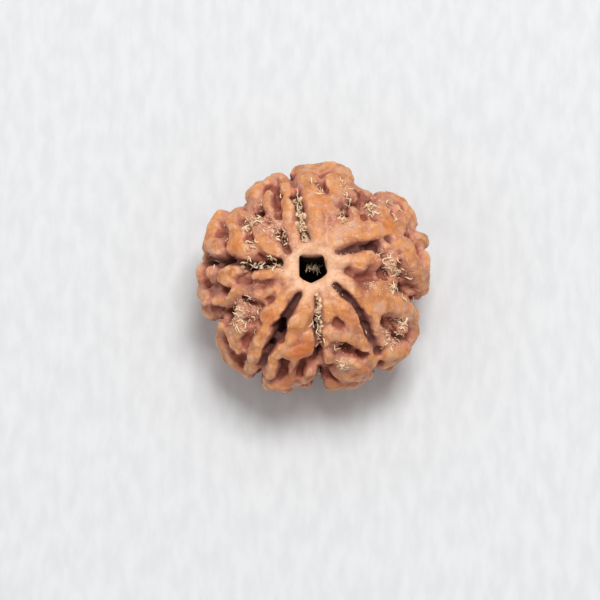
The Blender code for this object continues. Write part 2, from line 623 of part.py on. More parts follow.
def move_points(mesh, points):
    """Puts the mesh's points at these places, in millimetres."""
    mesh.vertices.foreach_set("co", (points * MM).ravel())
    mesh.update()


def fill_at(nearest, rows, places):
    """The fill where those are the nearest one or two ridges, as gaps in half widths and rows."""
    share, row = nearest[0]
    fill = smooth_step((FILL_TO - share) / (FILL_TO - FILL_FROM))
    if len(nearest) == 2:
        next_share, next_row = nearest[1]
        width = (rows[row, 3] + rows[next_row, 3]) / 2
        apart = np.linalg.norm(places[row] - places[next_row]) / width - JOINED_GAP
        border = bell((next_share - share) * width / 2, BORDER_REACH)
        fill -= BORDER_SINK * border * smooth_step(apart)
    return max(fill, 0.0)


def fills(surface, ridges):
    """How much of the fill's rise each point of the bare stone has, from nought to one."""
    rows = np.vstack(ridges)
    places = lifted(rows[:, :3], np.zeros(len(rows)))
    owners = np.repeat(np.arange(len(ridges)), [len(ridge) for ridge in ridges])
    tree = tree_of(places)
    made = np.zeros(len(surface))
    for index, point in enumerate(surface):
        nearest = {}
        for place, row, gap in tree.find_range(Vector(point), BORDER_SEARCH):
            share = gap / rows[row, 3]
            if share < nearest.get(owners[row], (FILL_TO, 0))[0]:
                nearest[owners[row]] = (share, row)
        if nearest:
            made[index] = fill_at(sorted(nearest.values())[:2], rows, places)
    return made


def stone_mesh(seams, ridges, valleys):
    """The bare stone, with its furrows, its valleys and the wood that fills the ground beside ridges."""
    shape = bmesh.new()
    bmesh.ops.create_icosphere(shape, subdivisions=STONE_SUBDIVISIONS, radius=STONE_REACH * MM)
    mesh = bpy.data.meshes.new("stone")
    shape.to_mesh(mesh)
    shape.free()
    direction = outward(points_of(mesh))
    radius = stone_radius(direction)
    surface = direction * radius[:, None]
    ring = np.hypot(surface[:, 0], surface[:, 1]) / STONE_REACH
    flank = np.where(surface[:, 2] > 0, ring**2, 1.0)
    to_seam = gaps_to(tree_of(np.vstack(seams)), surface)
    between = 1 - bell(gaps_to(tree_of(np.vstack(ridges)), surface), HOLLOW_REACH)
    sink = (FURROW_DEPTH + FLANK_FURROW_DEPTH * flank) * bell(to_seam, FURROW_REACH)
    sink += DIP_DEPTH * bell(to_seam, DIP_REACH)
    sink += (HOLLOW_DEPTH + FLANK_HOLLOW_DEPTH * flank) * between
    in_valley = bell(gaps_to(tree_of(np.vstack(valleys)), surface), VALLEY_REACH)
    sink += VALLEY_DEPTH * in_valley
    rise = (FILL_RISE - FLANK_FILL_LOSS * flank) * fills(surface, ridges)
    sink -= rise * (1 - bell(to_seam, FILL_CLEAR_OF_SEAM)) * (1 - in_valley)
    sink *= 1 - np.exp(-((from_channel(surface) / FURROW_START) ** FURROW_START_POWER))
    move_points(mesh, direction * (radius - sink)[:, None])
    return mesh


def seed_of(meshes):
    """One object that holds all the meshes, with the ridges' caps welded."""
    shape = bmesh.new()
    for mesh in meshes:
        shape.from_mesh(mesh)
    bmesh.ops.remove_doubles(shape, verts=shape.verts, dist=WELD_DISTANCE)
    mesh = bpy.data.meshes.new("rudraksha_seed")
    shape.to_mesh(mesh)
    shape.free()
    return bpy.data.objects.new("rudraksha_seed", mesh)


def apply_modifiers(seed):
    """Gives the object the mesh that its modifiers make, and clears them."""
    mesh = bpy.data.meshes.new_from_object(seed.evaluated_get(bpy.context.evaluated_depsgraph_get()))
    seed.modifiers.clear()
    seed.data = mesh


def keep_largest_body(mesh):
    """Deletes all but the largest connected skin, so that no sealed pocket or loose scrap stays."""
    shape = bmesh.new()
    shape.from_mesh(mesh)
    left = set(shape.verts)
    largest = set()
    while left:
        body = {left.pop()}
        front = list(body)
        while front:
            vertex = front.pop()
            reached = {edge.other_vert(vertex) for edge in vertex.link_edges} & left
            left -= reached
            body |= reached
            front.extend(reached)
        largest = max(largest, body, key=len)
    loose = [vertex for vertex in shape.verts if vertex not in largest]
    bmesh.ops.delete(shape, geom=loose, context="VERTS")
    shape.to_mesh(mesh)
    shape.free()


def fuse(seed):
    """Makes one skin round the stone and its ridges, and softens where they meet."""
    remesh = seed.modifiers.new("fuse", "REMESH")
    remesh.mode = "VOXEL"
    remesh.voxel_size = VOXEL * MM
    apply_modifiers(seed)
    keep_largest_body(seed.data)
    smooth = seed.modifiers.new("soften", "SMOOTH")
    smooth.factor = SMOOTH_FACTOR
    smooth.iterations = SMOOTH_TIMES
    apply_modifiers(seed)


def pits_pressed(points):
    """The points with each drawn pit sunk into them, along the lines to the stone's centre."""
    for right, up, reach, depth in PITS:
        centre = seen_point(right, up, PIT_LEVEL)
        gap = np.linalg.norm(points - centre, axis=1)
        points = points - outward(points) * (depth * bell(gap, reach))[:, None]
    return points


def grooves_pressed(points, seams):
    """The points with the seams and the drawn grooves sunk into them, towards the stone's centre."""
    surface = lifted(points, np.zeros(len(points)))
    fade = 1 - np.exp(-((from_channel(surface) / FURROW_START) ** FURROW_START_POWER))
    sink = SEAM_PRESS * bell(gaps_to(tree_of(np.vstack(seams)), surface), SEAM_PRESS_REACH) * fade
    for depth, reach, drawing in GROOVES:
        path = smooth_path([seen_point(right, up, 0.0) for right, up in drawing])
        near = np.linalg.norm(surface - path[0], axis=1) < GROOVE_SEARCH
        sink[near] += depth * bell(gaps_to(tree_of(path), surface[near]), reach)
    return points - outward(points) * sink[:, None]


def made_uneven(points):
    """The points shifted a little, by a noise that neighbours share, so that no ridge stays regular."""
    noise.seed_set(UNEVEN_SEED)
    places = [Vector(point) / UNEVEN_LENGTH for point in points]
    waves = np.array([noise.turbulence_vector(place, UNEVEN_OCTAVES, False) for place in places])
    return points + waves * UNEVEN_HEIGHT


def worn_down(points):
    """The points with the crown's ridges pressed down towards their level."""
    over = np.maximum(np.linalg.norm(points, axis=1) - stone_radius(outward(points)) - CROWN_LEVEL, 0.0)
    upper = smooth_step((points[:, 2] / STONE_RISE - CROWN_START) / (CROWN_END - CROWN_START))
    return points - outward(points) * (over * (1 - CROWN_KEPT) * upper)[:, None]


def triangle_count(mesh):
    return sum(len(face.vertices) - 2 for face in mesh.polygons)


def thin_out(seed):
    """Brings the mesh down to the face budget, with the most triangles where the form bends most."""
    thin = seed.modifiers.new("thin", "DECIMATE")
    thin.ratio = FACE_BUDGET / triangle_count(seed.data)
    apply_modifiers(seed)


def channel_cutter():
    """A five-sided prism through the whole stone."""
    curve = bpy.data.curves.new("channel", "CURVE")
    curve.dimensions = "2D"
    curve.fill_mode = "BOTH"
    curve.extrude = CHANNEL_HALF_LENGTH * MM
    spline = curve.splines.new("POLY")
    spline.points.add(len(CHANNEL_CORNERS) - 1)
    spline.use_cyclic_u = True
    for point, (right, up) in zip(spline.points, CHANNEL_CORNERS):
        point.co = (right * MM, (up / math.sin(VIEW_ELEVATION) - CHANNEL_AHEAD) * MM, 0.0, 1.0)
    guide = bpy.data.objects.new("channel_guide", curve)
    bpy.context.scene.collection.objects.link(guide)
    mesh = bpy.data.meshes.new_from_object(guide.evaluated_get(bpy.context.evaluated_depsgraph_get()))
    bpy.data.objects.remove(guide)
    shape = bmesh.new()
    shape.from_mesh(mesh)
    bmesh.ops.remove_doubles(shape, verts=shape.verts, dist=WELD_DISTANCE)
    shape.to_mesh(mesh)
    shape.free()
    return bpy.data.objects.new("channel", mesh)


def ground_cutter():
    """A block whose top is the plane that the stone rests on."""
    shape = bmesh.new()
    bmesh.ops.create_cube(shape, size=GROUND_SIZE * MM)
    bmesh.ops.translate(shape, verts=shape.verts, vec=(0, 0, -(SEAT_DEPTH + GROUND_SIZE / 2) * MM))
    mesh = bpy.data.meshes.new("ground")
    shape.to_mesh(mesh)
    shape.free()
    return bpy.data.objects.new("ground", mesh)


def cut(seed):
    """Cuts the channel and the flats that the stone rests on."""
    cutters = bpy.data.collections.new("cutters")
    bpy.context.scene.collection.children.link(cutters)
    for cutter in (channel_cutter(), ground_cutter()):
        cutter.hide_render = True
        cutter.display_type = "WIRE"
        cutters.objects.link(cutter)
    boolean = seed.modifiers.new("cut", "BOOLEAN")
    boolean.operand_type = "COLLECTION"
    boolean.collection = cutters
    apply_modifiers(seed)


def stand_on_origin(mesh):
    """Moves the mesh so that its box stands on the origin, centred over it."""
    xs = [vertex.co.x for vertex in mesh.vertices]
    ys = [vertex.co.y for vertex in mesh.vertices]
    middle = ((min(xs) + max(xs)) / 2, (min(ys) + max(ys)) / 2, -SEAT_DEPTH * MM)
    mesh.transform(Matrix.Translation(middle).inverted())


def wood():
    material = bpy.data.materials.new("stone_wood")
    material.use_nodes = True
    shader = material.node_tree.nodes["Principled BSDF"]
    shader.inputs["Base Color"].default_value = WOOD_COLOUR
    shader.inputs["Roughness"].default_value = WOOD_ROUGHNESS
    return material


def main():
    for old in list(bpy.data.objects):
        bpy.data.objects.remove(old)
    seams = [seam_path(name) for name in SEAMS]
    valleys = [smooth_path([seen_point(right, up, 0.0) for right, up in rows]) for rows in VALLEYS.values()]
    ridges = [drawn_ridge(name) for name in RIDGES]
    ridges += shoulders(seams, tree_of(np.vstack(ridges)))
    ridges += net(seams, ridges)
    raised = [plumped(path) for path in ridges] + collars()
    stone = stone_mesh(seams, ridges, valleys)
    seed = seed_of((stone, ridge_mesh(raised + [rooted(path) for path in raised])))
    rudraksha = bpy.data.collections.new("rudraksha")
    bpy.context.scene.collection.children.link(rudraksha)
    rudraksha.objects.link(seed)
    move_points(seed.data, made_uneven(grooves_pressed(pits_pressed(points_of(seed.data)), seams)))
    fuse(seed)
    move_points(seed.data, worn_down(points_of(seed.data)))
    thin_out(seed)
    cut(seed)
    keep_largest_body(seed.data)
    stand_on_origin(seed.data)
    seed.data.materials.clear()
    seed.data.materials.append(wood())
    seed.data.shade_smooth()


main()
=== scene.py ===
"""A rudraksha seed stone lying on pale paper, seen from above and a little in front.

The stone's crown is drawn in millimetres right of its channel and up from it, as that view shows it.
"""

import math
import random

import bmesh
import bpy
import numpy as np
from mathutils import Matrix, Vector, noise
from mathutils.bvhtree import BVHTree
from mathutils.kdtree import KDTree


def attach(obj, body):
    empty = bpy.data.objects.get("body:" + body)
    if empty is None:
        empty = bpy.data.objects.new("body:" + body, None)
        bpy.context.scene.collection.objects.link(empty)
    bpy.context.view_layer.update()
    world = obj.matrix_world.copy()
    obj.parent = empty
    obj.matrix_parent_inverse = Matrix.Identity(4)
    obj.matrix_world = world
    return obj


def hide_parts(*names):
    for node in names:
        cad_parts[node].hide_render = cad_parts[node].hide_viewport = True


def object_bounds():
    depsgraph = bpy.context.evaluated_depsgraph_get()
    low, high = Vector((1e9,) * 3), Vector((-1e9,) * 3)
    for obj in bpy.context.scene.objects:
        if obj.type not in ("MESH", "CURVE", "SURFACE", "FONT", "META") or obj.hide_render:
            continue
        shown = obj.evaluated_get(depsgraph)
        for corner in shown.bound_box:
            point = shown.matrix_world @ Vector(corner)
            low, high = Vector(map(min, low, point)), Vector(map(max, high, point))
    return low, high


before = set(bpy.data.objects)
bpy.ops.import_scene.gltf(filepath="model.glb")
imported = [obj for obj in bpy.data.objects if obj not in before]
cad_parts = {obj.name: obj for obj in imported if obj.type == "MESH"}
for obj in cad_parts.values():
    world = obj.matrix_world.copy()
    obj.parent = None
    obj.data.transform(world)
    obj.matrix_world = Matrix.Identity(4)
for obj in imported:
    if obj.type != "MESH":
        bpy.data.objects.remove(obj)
cad_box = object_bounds()

MM = 0.001

# The stone
# One hard woody body, the dried stone of a fruit. Six seams run from a natural channel to the underside, and
# the wood between them has grown into a net of plump ridges. Handling has polished their crowns.

STONE_REACH = 10.5
STONE_RISE = 8.1
STONE_POWER = 2.35
STONE_SUBDIVISIONS = 7
POLE_DIP = 0.9
POLE_DIP_REACH = 2.4

# Where the stone's side swells or draws in: bearing and spread in degrees, height in millimetres.
SWELLS = (
    (8, 12, 0.9),
    (24, 3, -0.8),
    (34, 10, 0.9),
    (60, 10, -1.3),
    (77, 9, 0.7),
    (103, 4, -1.6),
    (114, 9, 0.1),
    (136, 6, -2.0),
    (156, 11, 0.6),
    (188, 12, 0.4),
    (206, 5, -2.1),
    (229, 12, 0.8),
    (251, 10, 0.8),
    (274, 4, -1.8),
    (292, 8, 0.5),
    (316, 14, 1.1),
    (344, 7, -1.7),
)

# The crown's drawing: its view, the level of the channel's rim, and the channel's place ahead of the centre.
VIEW_ELEVATION = math.radians(76)
RIM_LEVEL = 7.45
CHANNEL_AHEAD = 1.0
SIGHT_START = 12.0
SIGHT_END = -22.0
SIGHT_STEP = 0.02

# A seam is a narrow furrow in a broader dip, deeper on the flank. Both fade out near the channel.
FURROW_DEPTH = 1.4
FURROW_REACH = 0.48
FLANK_FURROW_DEPTH = 1.2
DIP_DEPTH = 0.5
DIP_REACH = 1.3
FURROW_START = 3.5
FURROW_START_POWER = 4
SEAM_END = math.radians(165)
SEAM_SWAY = 0.06
SEAM_SWAYS = 0.75
SEAM_STEPS = 8

# Ridges: a crown's height over the stone is the base, and the rest for each millimetre of half width.
CREST_BASE = 0.62
CREST_PER_WIDTH = 0.42
DRAWN_SPREAD = 1.15
ROOT_DROP = 0.6
PATH_STEP = 0.3
RIDGE_SIDES = 3
RIDGE_PLUMPNESS = 1.3
WIDTH_WAVE = 0.2
WIDTH_WAVE_LENGTH = 1.1
CAP_STEPS = (0.45, 0.8, 0.97)

# The channel's corners, seen along its axis, and the smooth collar round both of its mouths.
CHANNEL_CORNERS = ((-1.32, 1.28), (1.02, 1.3), (1.46, -0.42), (-0.2, -1.5), (-1.32, -0.8))
CHANNEL_HALF_LENGTH = 15.0
COLLAR_REACH = 2.35
COLLAR_WAVE = 0.12
COLLAR_WAVES = 5
COLLAR_WIDTH = 0.95
COLLAR_LEVEL = -0.3
COLLAR_POINTS = 48

# Broken shoulders beside each seam, with a spur on each piece.
SHOULDER_SEED = 41
SHOULDER_GAP = 0.42
SHOULDER_WIDTHS = (0.55, 0.9)
SHOULDER_END = 0.8
SHOULDER_STEPS = (8, 15)
SHORTEST_SHOULDER = 5
SHOULDER_BREAK = 2
SHOULDER_CLEAR_OF_CHANNEL = 4.0
SHOULDER_CLEAR_OF_DRAWN = 1.1
SPUR_REACH = (1.5, 2.2)
SPUR_DRIFT = 1.0

# The net of knots and links on the sides and the underside.
NET_SEED = 7
NET_SPACING = 2.15
NET_JITTER = 0.45
NET_WIDTHS = (0.45, 0.8)
GOLDEN_ANGLE = math.pi * (3 - math.sqrt(5))
NET_CLEAR_OF_RIDGES = 1.1
NET_CLEAR_OF_SEAM = 0.8
NET_CLEAR_OF_CHANNEL = 3.0
LINK_REACH = 3.1
LINKS_PER_KNOT = (1, 2, 2, 3)
LINK_WAIST = 0.8
LINK_BEND = 0.35
LINK_CLEAR_OF_SEAM = 0.2
KNOT_LENGTH = 0.2

# Ground between ridges sinks away from them, and more in the drawn valleys.
HOLLOW_DEPTH = 0.35
FLANK_HOLLOW_DEPTH = 0.55
HOLLOW_REACH = 1.1
VALLEY_DEPTH = 0.6
VALLEY_REACH = 0.85

# Wood fills the ground beside each ridge, fading out between two numbers of half widths from its middle
# line, and meets the next ridge's in a crease. It rises less on the flank.
FILL_RISE = 0.8
FLANK_FILL_LOSS = 0.78
FILL_FROM = 1.2
FILL_TO = 2.6
FILL_CLEAR_OF_SEAM = 0.7
BORDER_SEARCH = 2.4
BORDER_REACH = 0.22
BORDER_SINK = 0.85
JOINED_GAP = 0.8

# Fusing and finish of the surface.
FIRST_VOXEL = 0.18
VOXEL = 0.155
UNEVEN_LENGTH = 1.3
UNEVEN_HEIGHT = 0.22
UNEVEN_OCTAVES = 2
UNEVEN_SEED = 1796087486
WELD_DISTANCE = 1e-7
STONE_TRIANGLES = 190000

# The lowest crowns are worn flat where the stone rests, at this distance below its centre.
SEAT_DEPTH = 8.4

# Seams from beside the channel to the edge of the view, as (right, up).
SEAMS = {
    "upper": ((-0.45, 2.9), (-0.85, 4.0), (-1.2, 5.5), (-1.55, 7.0), (-1.85, 8.4), (-2.15, 9.6)),
    "upper_right": ((2.2, 1.6), (3.3, 1.85), (4.6, 2.25), (6.0, 2.35), (7.3, 2.75), (9.5, 3.45)),
    "lower_right": ((2.3, -1.7), (3.2, -2.4), (4.2, -3.6), (5.0, -4.8), (5.8, -6.8), (6.8, -9.7)),
    "lower": ((0.5, -1.9), (0.5, -3.5), (0.5, -5.0), (0.65, -6.5), (0.6, -7.8), (0.6, -10.3)),
    "lower_left": ((-1.5, -2.4), (-2.3, -4.0), (-3.1, -5.3), (-3.8, -7.0), (-4.5, -8.5), (-5.25, -10.5)),
    "left": ((-3.2, 0.65), (-4.5, 0.6), (-6.0, 0.45), (-7.5, 0.6), (-9.0, 0.8), (-10.9, 1.0)),
}

# Broad valleys of rough ground between the seams, as (right, up).
VALLEYS = {
    "upper_left": ((-2.2, 2.1), (-3.2, 3.3), (-4.2, 4.6), (-5.6, 5.4), (-6.9, 5.9)),
    "upper_right": ((1.9, 4.6), (2.7, 5.4), (3.4, 6.4), (4.6, 6.8), (5.8, 6.4), (6.2, 7.2)),
    "right": ((6.7, 1.2), (7.3, 0.2), (8.6, -0.4), (8.2, -1.7), (8.7, -2.7), (9.7, -3.2)),
    "lower_right": ((7.0, -5.4), (8.0, -6.2), (8.9, -6.4)),
    "lower_left": ((-5.6, -1.8), (-6.2, -3.2), (-7.0, -4.5), (-9.0, -4.9)),
}

# Pits, as (right, up, reach, depth).
PITS = (
    (0.7, 8.3, 0.7, 0.8),
    (2.9, 8.9, 0.65, 0.5),
    (4.7, 5.2, 0.4, 0.6),
    (8.2, 5.6, 0.8, 0.8),
    (6.2, 5.2, 0.45, 0.6),
    (7.3, 6.2, 0.5, 0.4),
    (10.5, 2.3, 0.6, 0.7),
    (10.75, 0.9, 0.4, 0.6),
    (5.6, -0.7, 1.0, 0.35),
    (7.6, -5.6, 0.65, 0.5),
    (2.4, -5.4, 0.65, 0.2),
    (3.2, -8.2, 0.9, 1.5),
    (2.1, -10.1, 1.0, 1.6),
    (4.9, -8.4, 0.5, 0.6),
    (-2.75, -9.4, 0.65, 1.1),
    (-3.1, -10.4, 0.6, 1.0),
    (-1.2, -9.9, 0.65, 1.2),
    (-7.1, -8.8, 0.6, 1.1),
    (-5.7, -7.3, 0.25, 0.5),
    (-5.6, -1.8, 0.65, 0.9),
    (-7.1, -1.1, 0.6, 0.9),
    (-8.9, -2.1, 0.5, 0.9),
    (-10.4, -1.45, 0.5, 0.6),
    (-10.0, -3.6, 0.5, 0.8),
    (-8.6, 4.1, 0.5, 1.0),
    (-4.2, 4.7, 0.5, 0.6),
    (-3.7, 8.6, 0.3, 0.5),
    (-3.4, 7.5, 0.3, 0.5),
    (-6.2, 3.2, 0.3, 0.5),
)
PIT_LEVEL = 0.3

# Narrow grooves between the crown's ridges: depth and reach, then points as (right, up).
GROOVES = (
    (0.5, 0.3, ((-8.55, 4.7), (-8.3, 3.7), (-8.7, 2.9), (-8.6, 1.65), (-8.3, 1.0))),
    (0.5, 0.3, ((-6.8, 4.2), (-6.05, 3.2), (-5.9, 2.05), (-5.5, 1.4))),
    (0.5, 0.35, ((-4.25, 4.7), (-3.4, 3.7), (-2.85, 2.9), (-2.2, 1.95))),
    (0.45, 0.3, ((-3.4, 6.9), (-3.4, 5.4), (-4.0, 4.5))),
    (0.4, 0.3, ((-5.5, 7.0), (-5.0, 5.7), (-4.65, 5.4))),
    (0.4, 0.25, ((-3.75, 8.7), (-3.4, 7.5), (-3.0, 7.2))),
    (0.45, 0.3, ((-8.0, 4.7), (-6.65, 4.55), (-5.5, 4.4))),
    (0.45, 0.35, ((3.35, 7.0), (2.6, 6.3), (1.7, 5.2), (1.3, 4.0))),
    (0.4, 0.3, ((0.85, 8.6), (0.85, 7.55))),
    (0.3, 0.2, ((8.4, 4.95), (9.15, 4.4), (9.75, 4.15))),
    (0.4, 0.3, ((7.6, 6.3), (7.6, 5.6), (8.15, 5.0))),
    (0.5, 0.3, ((6.2, 5.75), (6.2, 4.6))),
    (0.5, 0.25, ((9.75, 2.8), (9.85, 2.1))),
    (0.5, 0.35, ((6.65, 1.9), (7.55, 1.4), (8.5, 1.55))),
    (0.5, 0.3, ((6.2, 1.65), (7.0, 0.85))),
    (0.5, 0.4, ((6.9, 0.1), (7.6, -0.5), (8.0, -0.75), (9.05, -0.95))),
    (0.5, 0.35, ((6.8, -5.25), (7.6, -6.15), (8.4, -6.5))),
    (0.3, 0.35, ((1.1, -5.25), (2.0, -5.15), (2.8, -5.7))),
    (0.6, 0.35, ((3.3, -7.5), (4.05, -7.9), (4.75, -8.4))),
    (0.6, 0.4, ((1.3, -7.6), (2.1, -7.9))),
    (0.4, 0.3, ((6.7, -7.4), (6.4, -8.0))),
    (0.5, 0.25, ((-10.6, 0.2), (-10.7, -0.7), (-10.55, -1.3))),
    (0.5, 0.25, ((-9.4, 0.2), (-9.4, -0.8), (-9.2, -1.6))),
    (0.6, 0.3, ((-6.35, 0.0), (-6.45, -1.0), (-5.8, -1.5), (-5.6, -1.95))),
    (0.5, 0.25, ((-8.1, -0.9), (-6.8, -1.05))),
    (0.5, 0.3, ((-5.35, -1.15), (-4.9, -1.6), (-4.0, -1.3), (-2.9, -1.4))),
    (0.5, 0.3, ((-5.35, -3.3), (-4.65, -3.3), (-4.0, -2.9), (-3.1, -2.3))),
    (0.5, 0.35, ((-11.1, -1.5), (-9.9, -1.5))),
    (0.5, 0.35, ((-9.1, -1.95), (-8.1, -2.05))),
    (0.5, 0.3, ((-10.35, -3.2), (-9.8, -3.8), (-9.2, -3.8))),
    (0.5, 0.25, ((-8.5, -6.5), (-8.1, -7.6), (-7.25, -8.65), (-6.7, -8.45), (-6.6, -7.6))),
    (0.5, 0.35, ((-3.65, -8.65), (-2.95, -9.25), (-2.7, -10.25))),
    (0.5, 0.35, ((-1.1, -9.0), (-1.35, -10.4), (-1.45, -11.05))),
    (0.7, 0.3, ((-8.5, 6.2), (-8.5, 5.4), (-8.5, 4.7))),
)
GROOVE_SEARCH = 8.0
SEAM_PRESS = 1.25
SEAM_PRESS_REACH = 0.3

# Ridges, as rows of (right, up, half width).
RIDGES = {
    # between the upper seam and the upper right one
    "a_wedge": ((0.65, 2.7, 0.7), (0.6, 4.4, 1.0), (0.25, 6.2, 1.15), (-0.25, 7.8, 1.0), (-0.75, 9.2, 1.0)),
    "a_branch": ((0.9, 5.0, 0.9), (1.6, 6.3, 1.0), (2.5, 7.35, 0.8)),
    "a_brow": ((-1.35, 9.75, 0.7), (-0.6, 9.8, 0.7), (0.5, 9.75, 0.7), (1.9, 10.0, 0.85), (3.1, 9.5, 0.75)),
    "a_brow_end": ((3.1, 9.7, 0.7), (3.25, 8.9, 0.6)),
    "a_brow_tail": ((3.1, 8.4, 0.5), (4.3, 7.9, 0.55), (5.4, 7.35, 0.55)),
    "a_shoulder": ((2.2, 2.7, 0.75), (3.8, 3.2, 0.8), (5.5, 3.75, 0.9), (7.2, 4.25, 0.95), (8.4, 4.3, 0.8)),
    "a_shoulder_branch": ((7.0, 4.9, 0.8), (7.0, 5.9, 0.6), (7.2, 7.0, 0.8)),
    "a_loop": ((7.4, 7.0, 0.75), (8.6, 6.6, 0.7), (9.4, 5.7, 0.7), (9.75, 4.7, 0.6), (9.2, 4.0, 0.5)),
    "a_bead": ((4.1, 5.7, 0.5), (4.5, 4.9, 0.4)),
    "a_fan": ((2.1, 3.5, 0.7), (3.2, 4.4, 0.6)),
    "a_crumb": ((5.5, 5.6, 0.5), (5.9, 6.1, 0.35)),
    # between the upper right seam and the lower right one
    "b_pad": ((2.7, 0.75, 0.6), (4.2, 0.95, 0.85), (5.6, 0.95, 0.9), (6.2, 0.8, 0.7)),
    "b_upper": ((7.3, 2.35, 0.5), (8.5, 2.45, 0.7), (9.3, 2.5, 0.6)),
    "b_corner": ((10.3, 2.95, 0.6), (11.1, 2.9, 0.65)),
    "b_spine": ((9.2, 1.8, 0.75), (9.75, 0.9, 0.8), (10.4, -0.2, 0.7), (10.5, -1.4, 0.6), (9.0, -2.6, 0.5)),
    "b_edge": ((11.15, 1.4, 0.45), (11.2, 0.6, 0.5), (11.2, -0.5, 0.5)),
    "b_knot": ((8.1, 1.3, 0.45), (7.7, 0.6, 0.35)),
    "b_shoulder": ((2.7, -0.8, 0.5), (3.9, -1.8, 0.6), (4.8, -3.0, 0.65), (6.0, -4.6, 0.7)),
    "b_plateau": ((5.6, -2.7, 0.8), (7.0, -3.4, 1.0), (8.5, -3.7, 0.95), (9.7, -4.8, 0.8), (9.8, -6.7, 0.7)),
    "b_toe": ((6.4, -6.0, 0.6), (6.7, -7.2, 0.6)),
    "b_foot": ((7.3, -8.1, 0.8), (8.3, -8.2, 0.85), (9.1, -7.8, 0.75)),
    "b_heel": ((7.3, -9.2, 0.6), (8.1, -8.9, 0.6)),
    # between the lower right seam and the lower one
    "c_inner": ((1.55, -2.9, 0.75), (1.6, -3.9, 0.8), (1.45, -5.0, 0.6)),
    "c_crescent": ((2.3, -3.1, 0.8), (3.4, -4.2, 0.9), (4.1, -5.4, 0.8), (4.9, -7.5, 0.6)),
    "c_cross": ((1.6, -6.4, 0.5), (2.7, -6.4, 0.6), (3.9, -7.0, 0.65)),
    "c_bead": ((1.3, -7.3, 0.5), (1.4, -7.7, 0.4)),
    "c_bridge": ((2.4, -8.0, 0.4), (1.6, -8.7, 0.7), (0.8, -9.3, 0.55)),
    "c_lobe": ((5.8, -8.3, 0.5), (5.6, -9.3, 0.7), (4.9, -9.8, 0.85), (4.2, -9.3, 0.6)),
    "c_lobe_low": ((4.2, -10.5, 0.65), (5.3, -10.4, 0.6)),
    "c_sill": ((1.5, -10.7, 0.45), (2.4, -11.2, 0.5), (3.5, -11.3, 0.55), (4.7, -11.2, 0.5)),
    # between the lower seam and the lower left one
    "d_tongue": ((-0.3, -2.5, 0.55), (-0.8, -4.0, 0.75), (-1.5, -5.2, 0.85), (-2.1, -7.0, 0.55)),
    "d_head": ((-0.5, -6.6, 0.6), (-0.7, -7.6, 0.85), (-1.8, -8.2, 0.75), (-3.2, -8.0, 0.6)),
    "d_leg_left": ((-3.6, -8.6, 0.5), (-4.1, -9.4, 0.6), (-4.2, -10.2, 0.6)),
    "d_leg_middle": ((-1.9, -9.0, 0.45), (-2.1, -9.9, 0.45), (-2.25, -10.8, 0.55)),
    "d_leg_right": ((0.3, -9.4, 0.5), (-0.4, -10.1, 0.55)),
    "d_base_left": ((-4.6, -10.9, 0.45), (-3.6, -11.3, 0.6), (-2.9, -11.3, 0.5)),
    "d_base_right": ((-1.8, -11.4, 0.55), (-0.9, -10.9, 0.5)),
    # between the lower left seam and the left one
    "e_shoulder": ((-2.0, -1.9, 0.5), (-3.0, -3.0, 0.6), (-4.0, -4.2, 0.75), (-4.5, -4.8, 0.6)),
    "e_outer": ((-4.8, -6.3, 0.65), (-5.5, -7.4, 0.65), (-5.8, -8.6, 0.65), (-6.1, -9.8, 0.6)),
    "e_tongue": ((-8.2, -6.4, 0.6), (-7.6, -7.3, 0.7), (-7.2, -8.0, 0.5)),
    "e_rim": ((-9.0, -5.6, 0.45), (-9.1, -7.2, 0.5), (-8.7, -8.5, 0.5), (-7.9, -9.4, 0.5)),
    "e_finger_upper": ((-2.6, -0.4, 0.5), (-4.0, -0.6, 0.55), (-5.5, -0.7, 0.55)),
    "e_finger_lower": ((-3.0, -1.3, 0.4), (-4.2, -2.2, 0.45), (-5.0, -2.9, 0.42)),
    "e_knob": ((-7.9, -0.2, 0.75), (-8.5, -0.8, 0.75)),
    "e_side_knob": ((-10.0, -0.3, 0.6), (-9.9, -0.8, 0.5)),
    "e_side": ((-11.0, 0.2, 0.65), (-11.1, -0.9, 0.45), (-11.15, -2.0, 0.5), (-10.6, -2.9, 0.6)),
    "e_bridge": ((-9.6, -3.1, 0.4), (-8.4, -3.1, 0.5), (-7.6, -2.2, 0.65), (-6.8, -1.9, 0.5)),
    "e_low_rim": ((-10.7, -3.8, 0.6), (-10.1, -4.2, 0.55), (-9.4, -4.3, 0.5)),
    # between the left seam and the upper one
    "f_oval": ((-3.4, 1.7, 0.55), (-4.3, 2.4, 0.85), (-5.2, 3.1, 0.75)),
    "f_knob": ((-6.7, 1.9, 0.8), (-7.5, 2.4, 1.0), (-7.4, 3.3, 0.8)),
    "f_side": ((-9.4, 1.75, 0.75), (-10.15, 2.8, 0.75), (-9.9, 4.1, 0.7), (-9.35, 5.6, 0.5)),
    "f_spike": ((-7.95, 5.7, 0.35), (-7.0, 5.3, 0.5), (-6.0, 4.8, 0.5)),
    "f_outer": ((-5.7, 6.2, 0.75), (-5.8, 7.4, 0.8), (-5.4, 8.2, 0.7)),
    "f_inner": ((-4.3, 7.4, 0.5), (-4.6, 6.5, 0.5), (-4.4, 5.9, 0.4)),
    "f_brow": ((-4.4, 8.7, 0.5), (-3.3, 9.2, 0.6), (-2.7, 8.5, 0.6), (-2.5, 7.8, 0.5)),
    "f_shoulder": ((-1.9, 2.6, 0.45), (-2.1, 4.0, 0.6), (-2.4, 5.5, 0.65), (-2.8, 6.7, 0.5)),
}


def side_swell(direction):
    """How far the side swells at each unit direction's bearing round the stone."""
    bearing = np.degrees(np.arctan2(direction[..., 1], direction[..., 0]))
    swell = np.zeros(bearing.shape)
    for centre, spread, height in SWELLS:
        away = (bearing - centre + 180) % 360 - 180
        swell += height * np.exp(-((away / spread) ** 2))
    return swell * (direction[..., 0] ** 2 + direction[..., 1] ** 2)


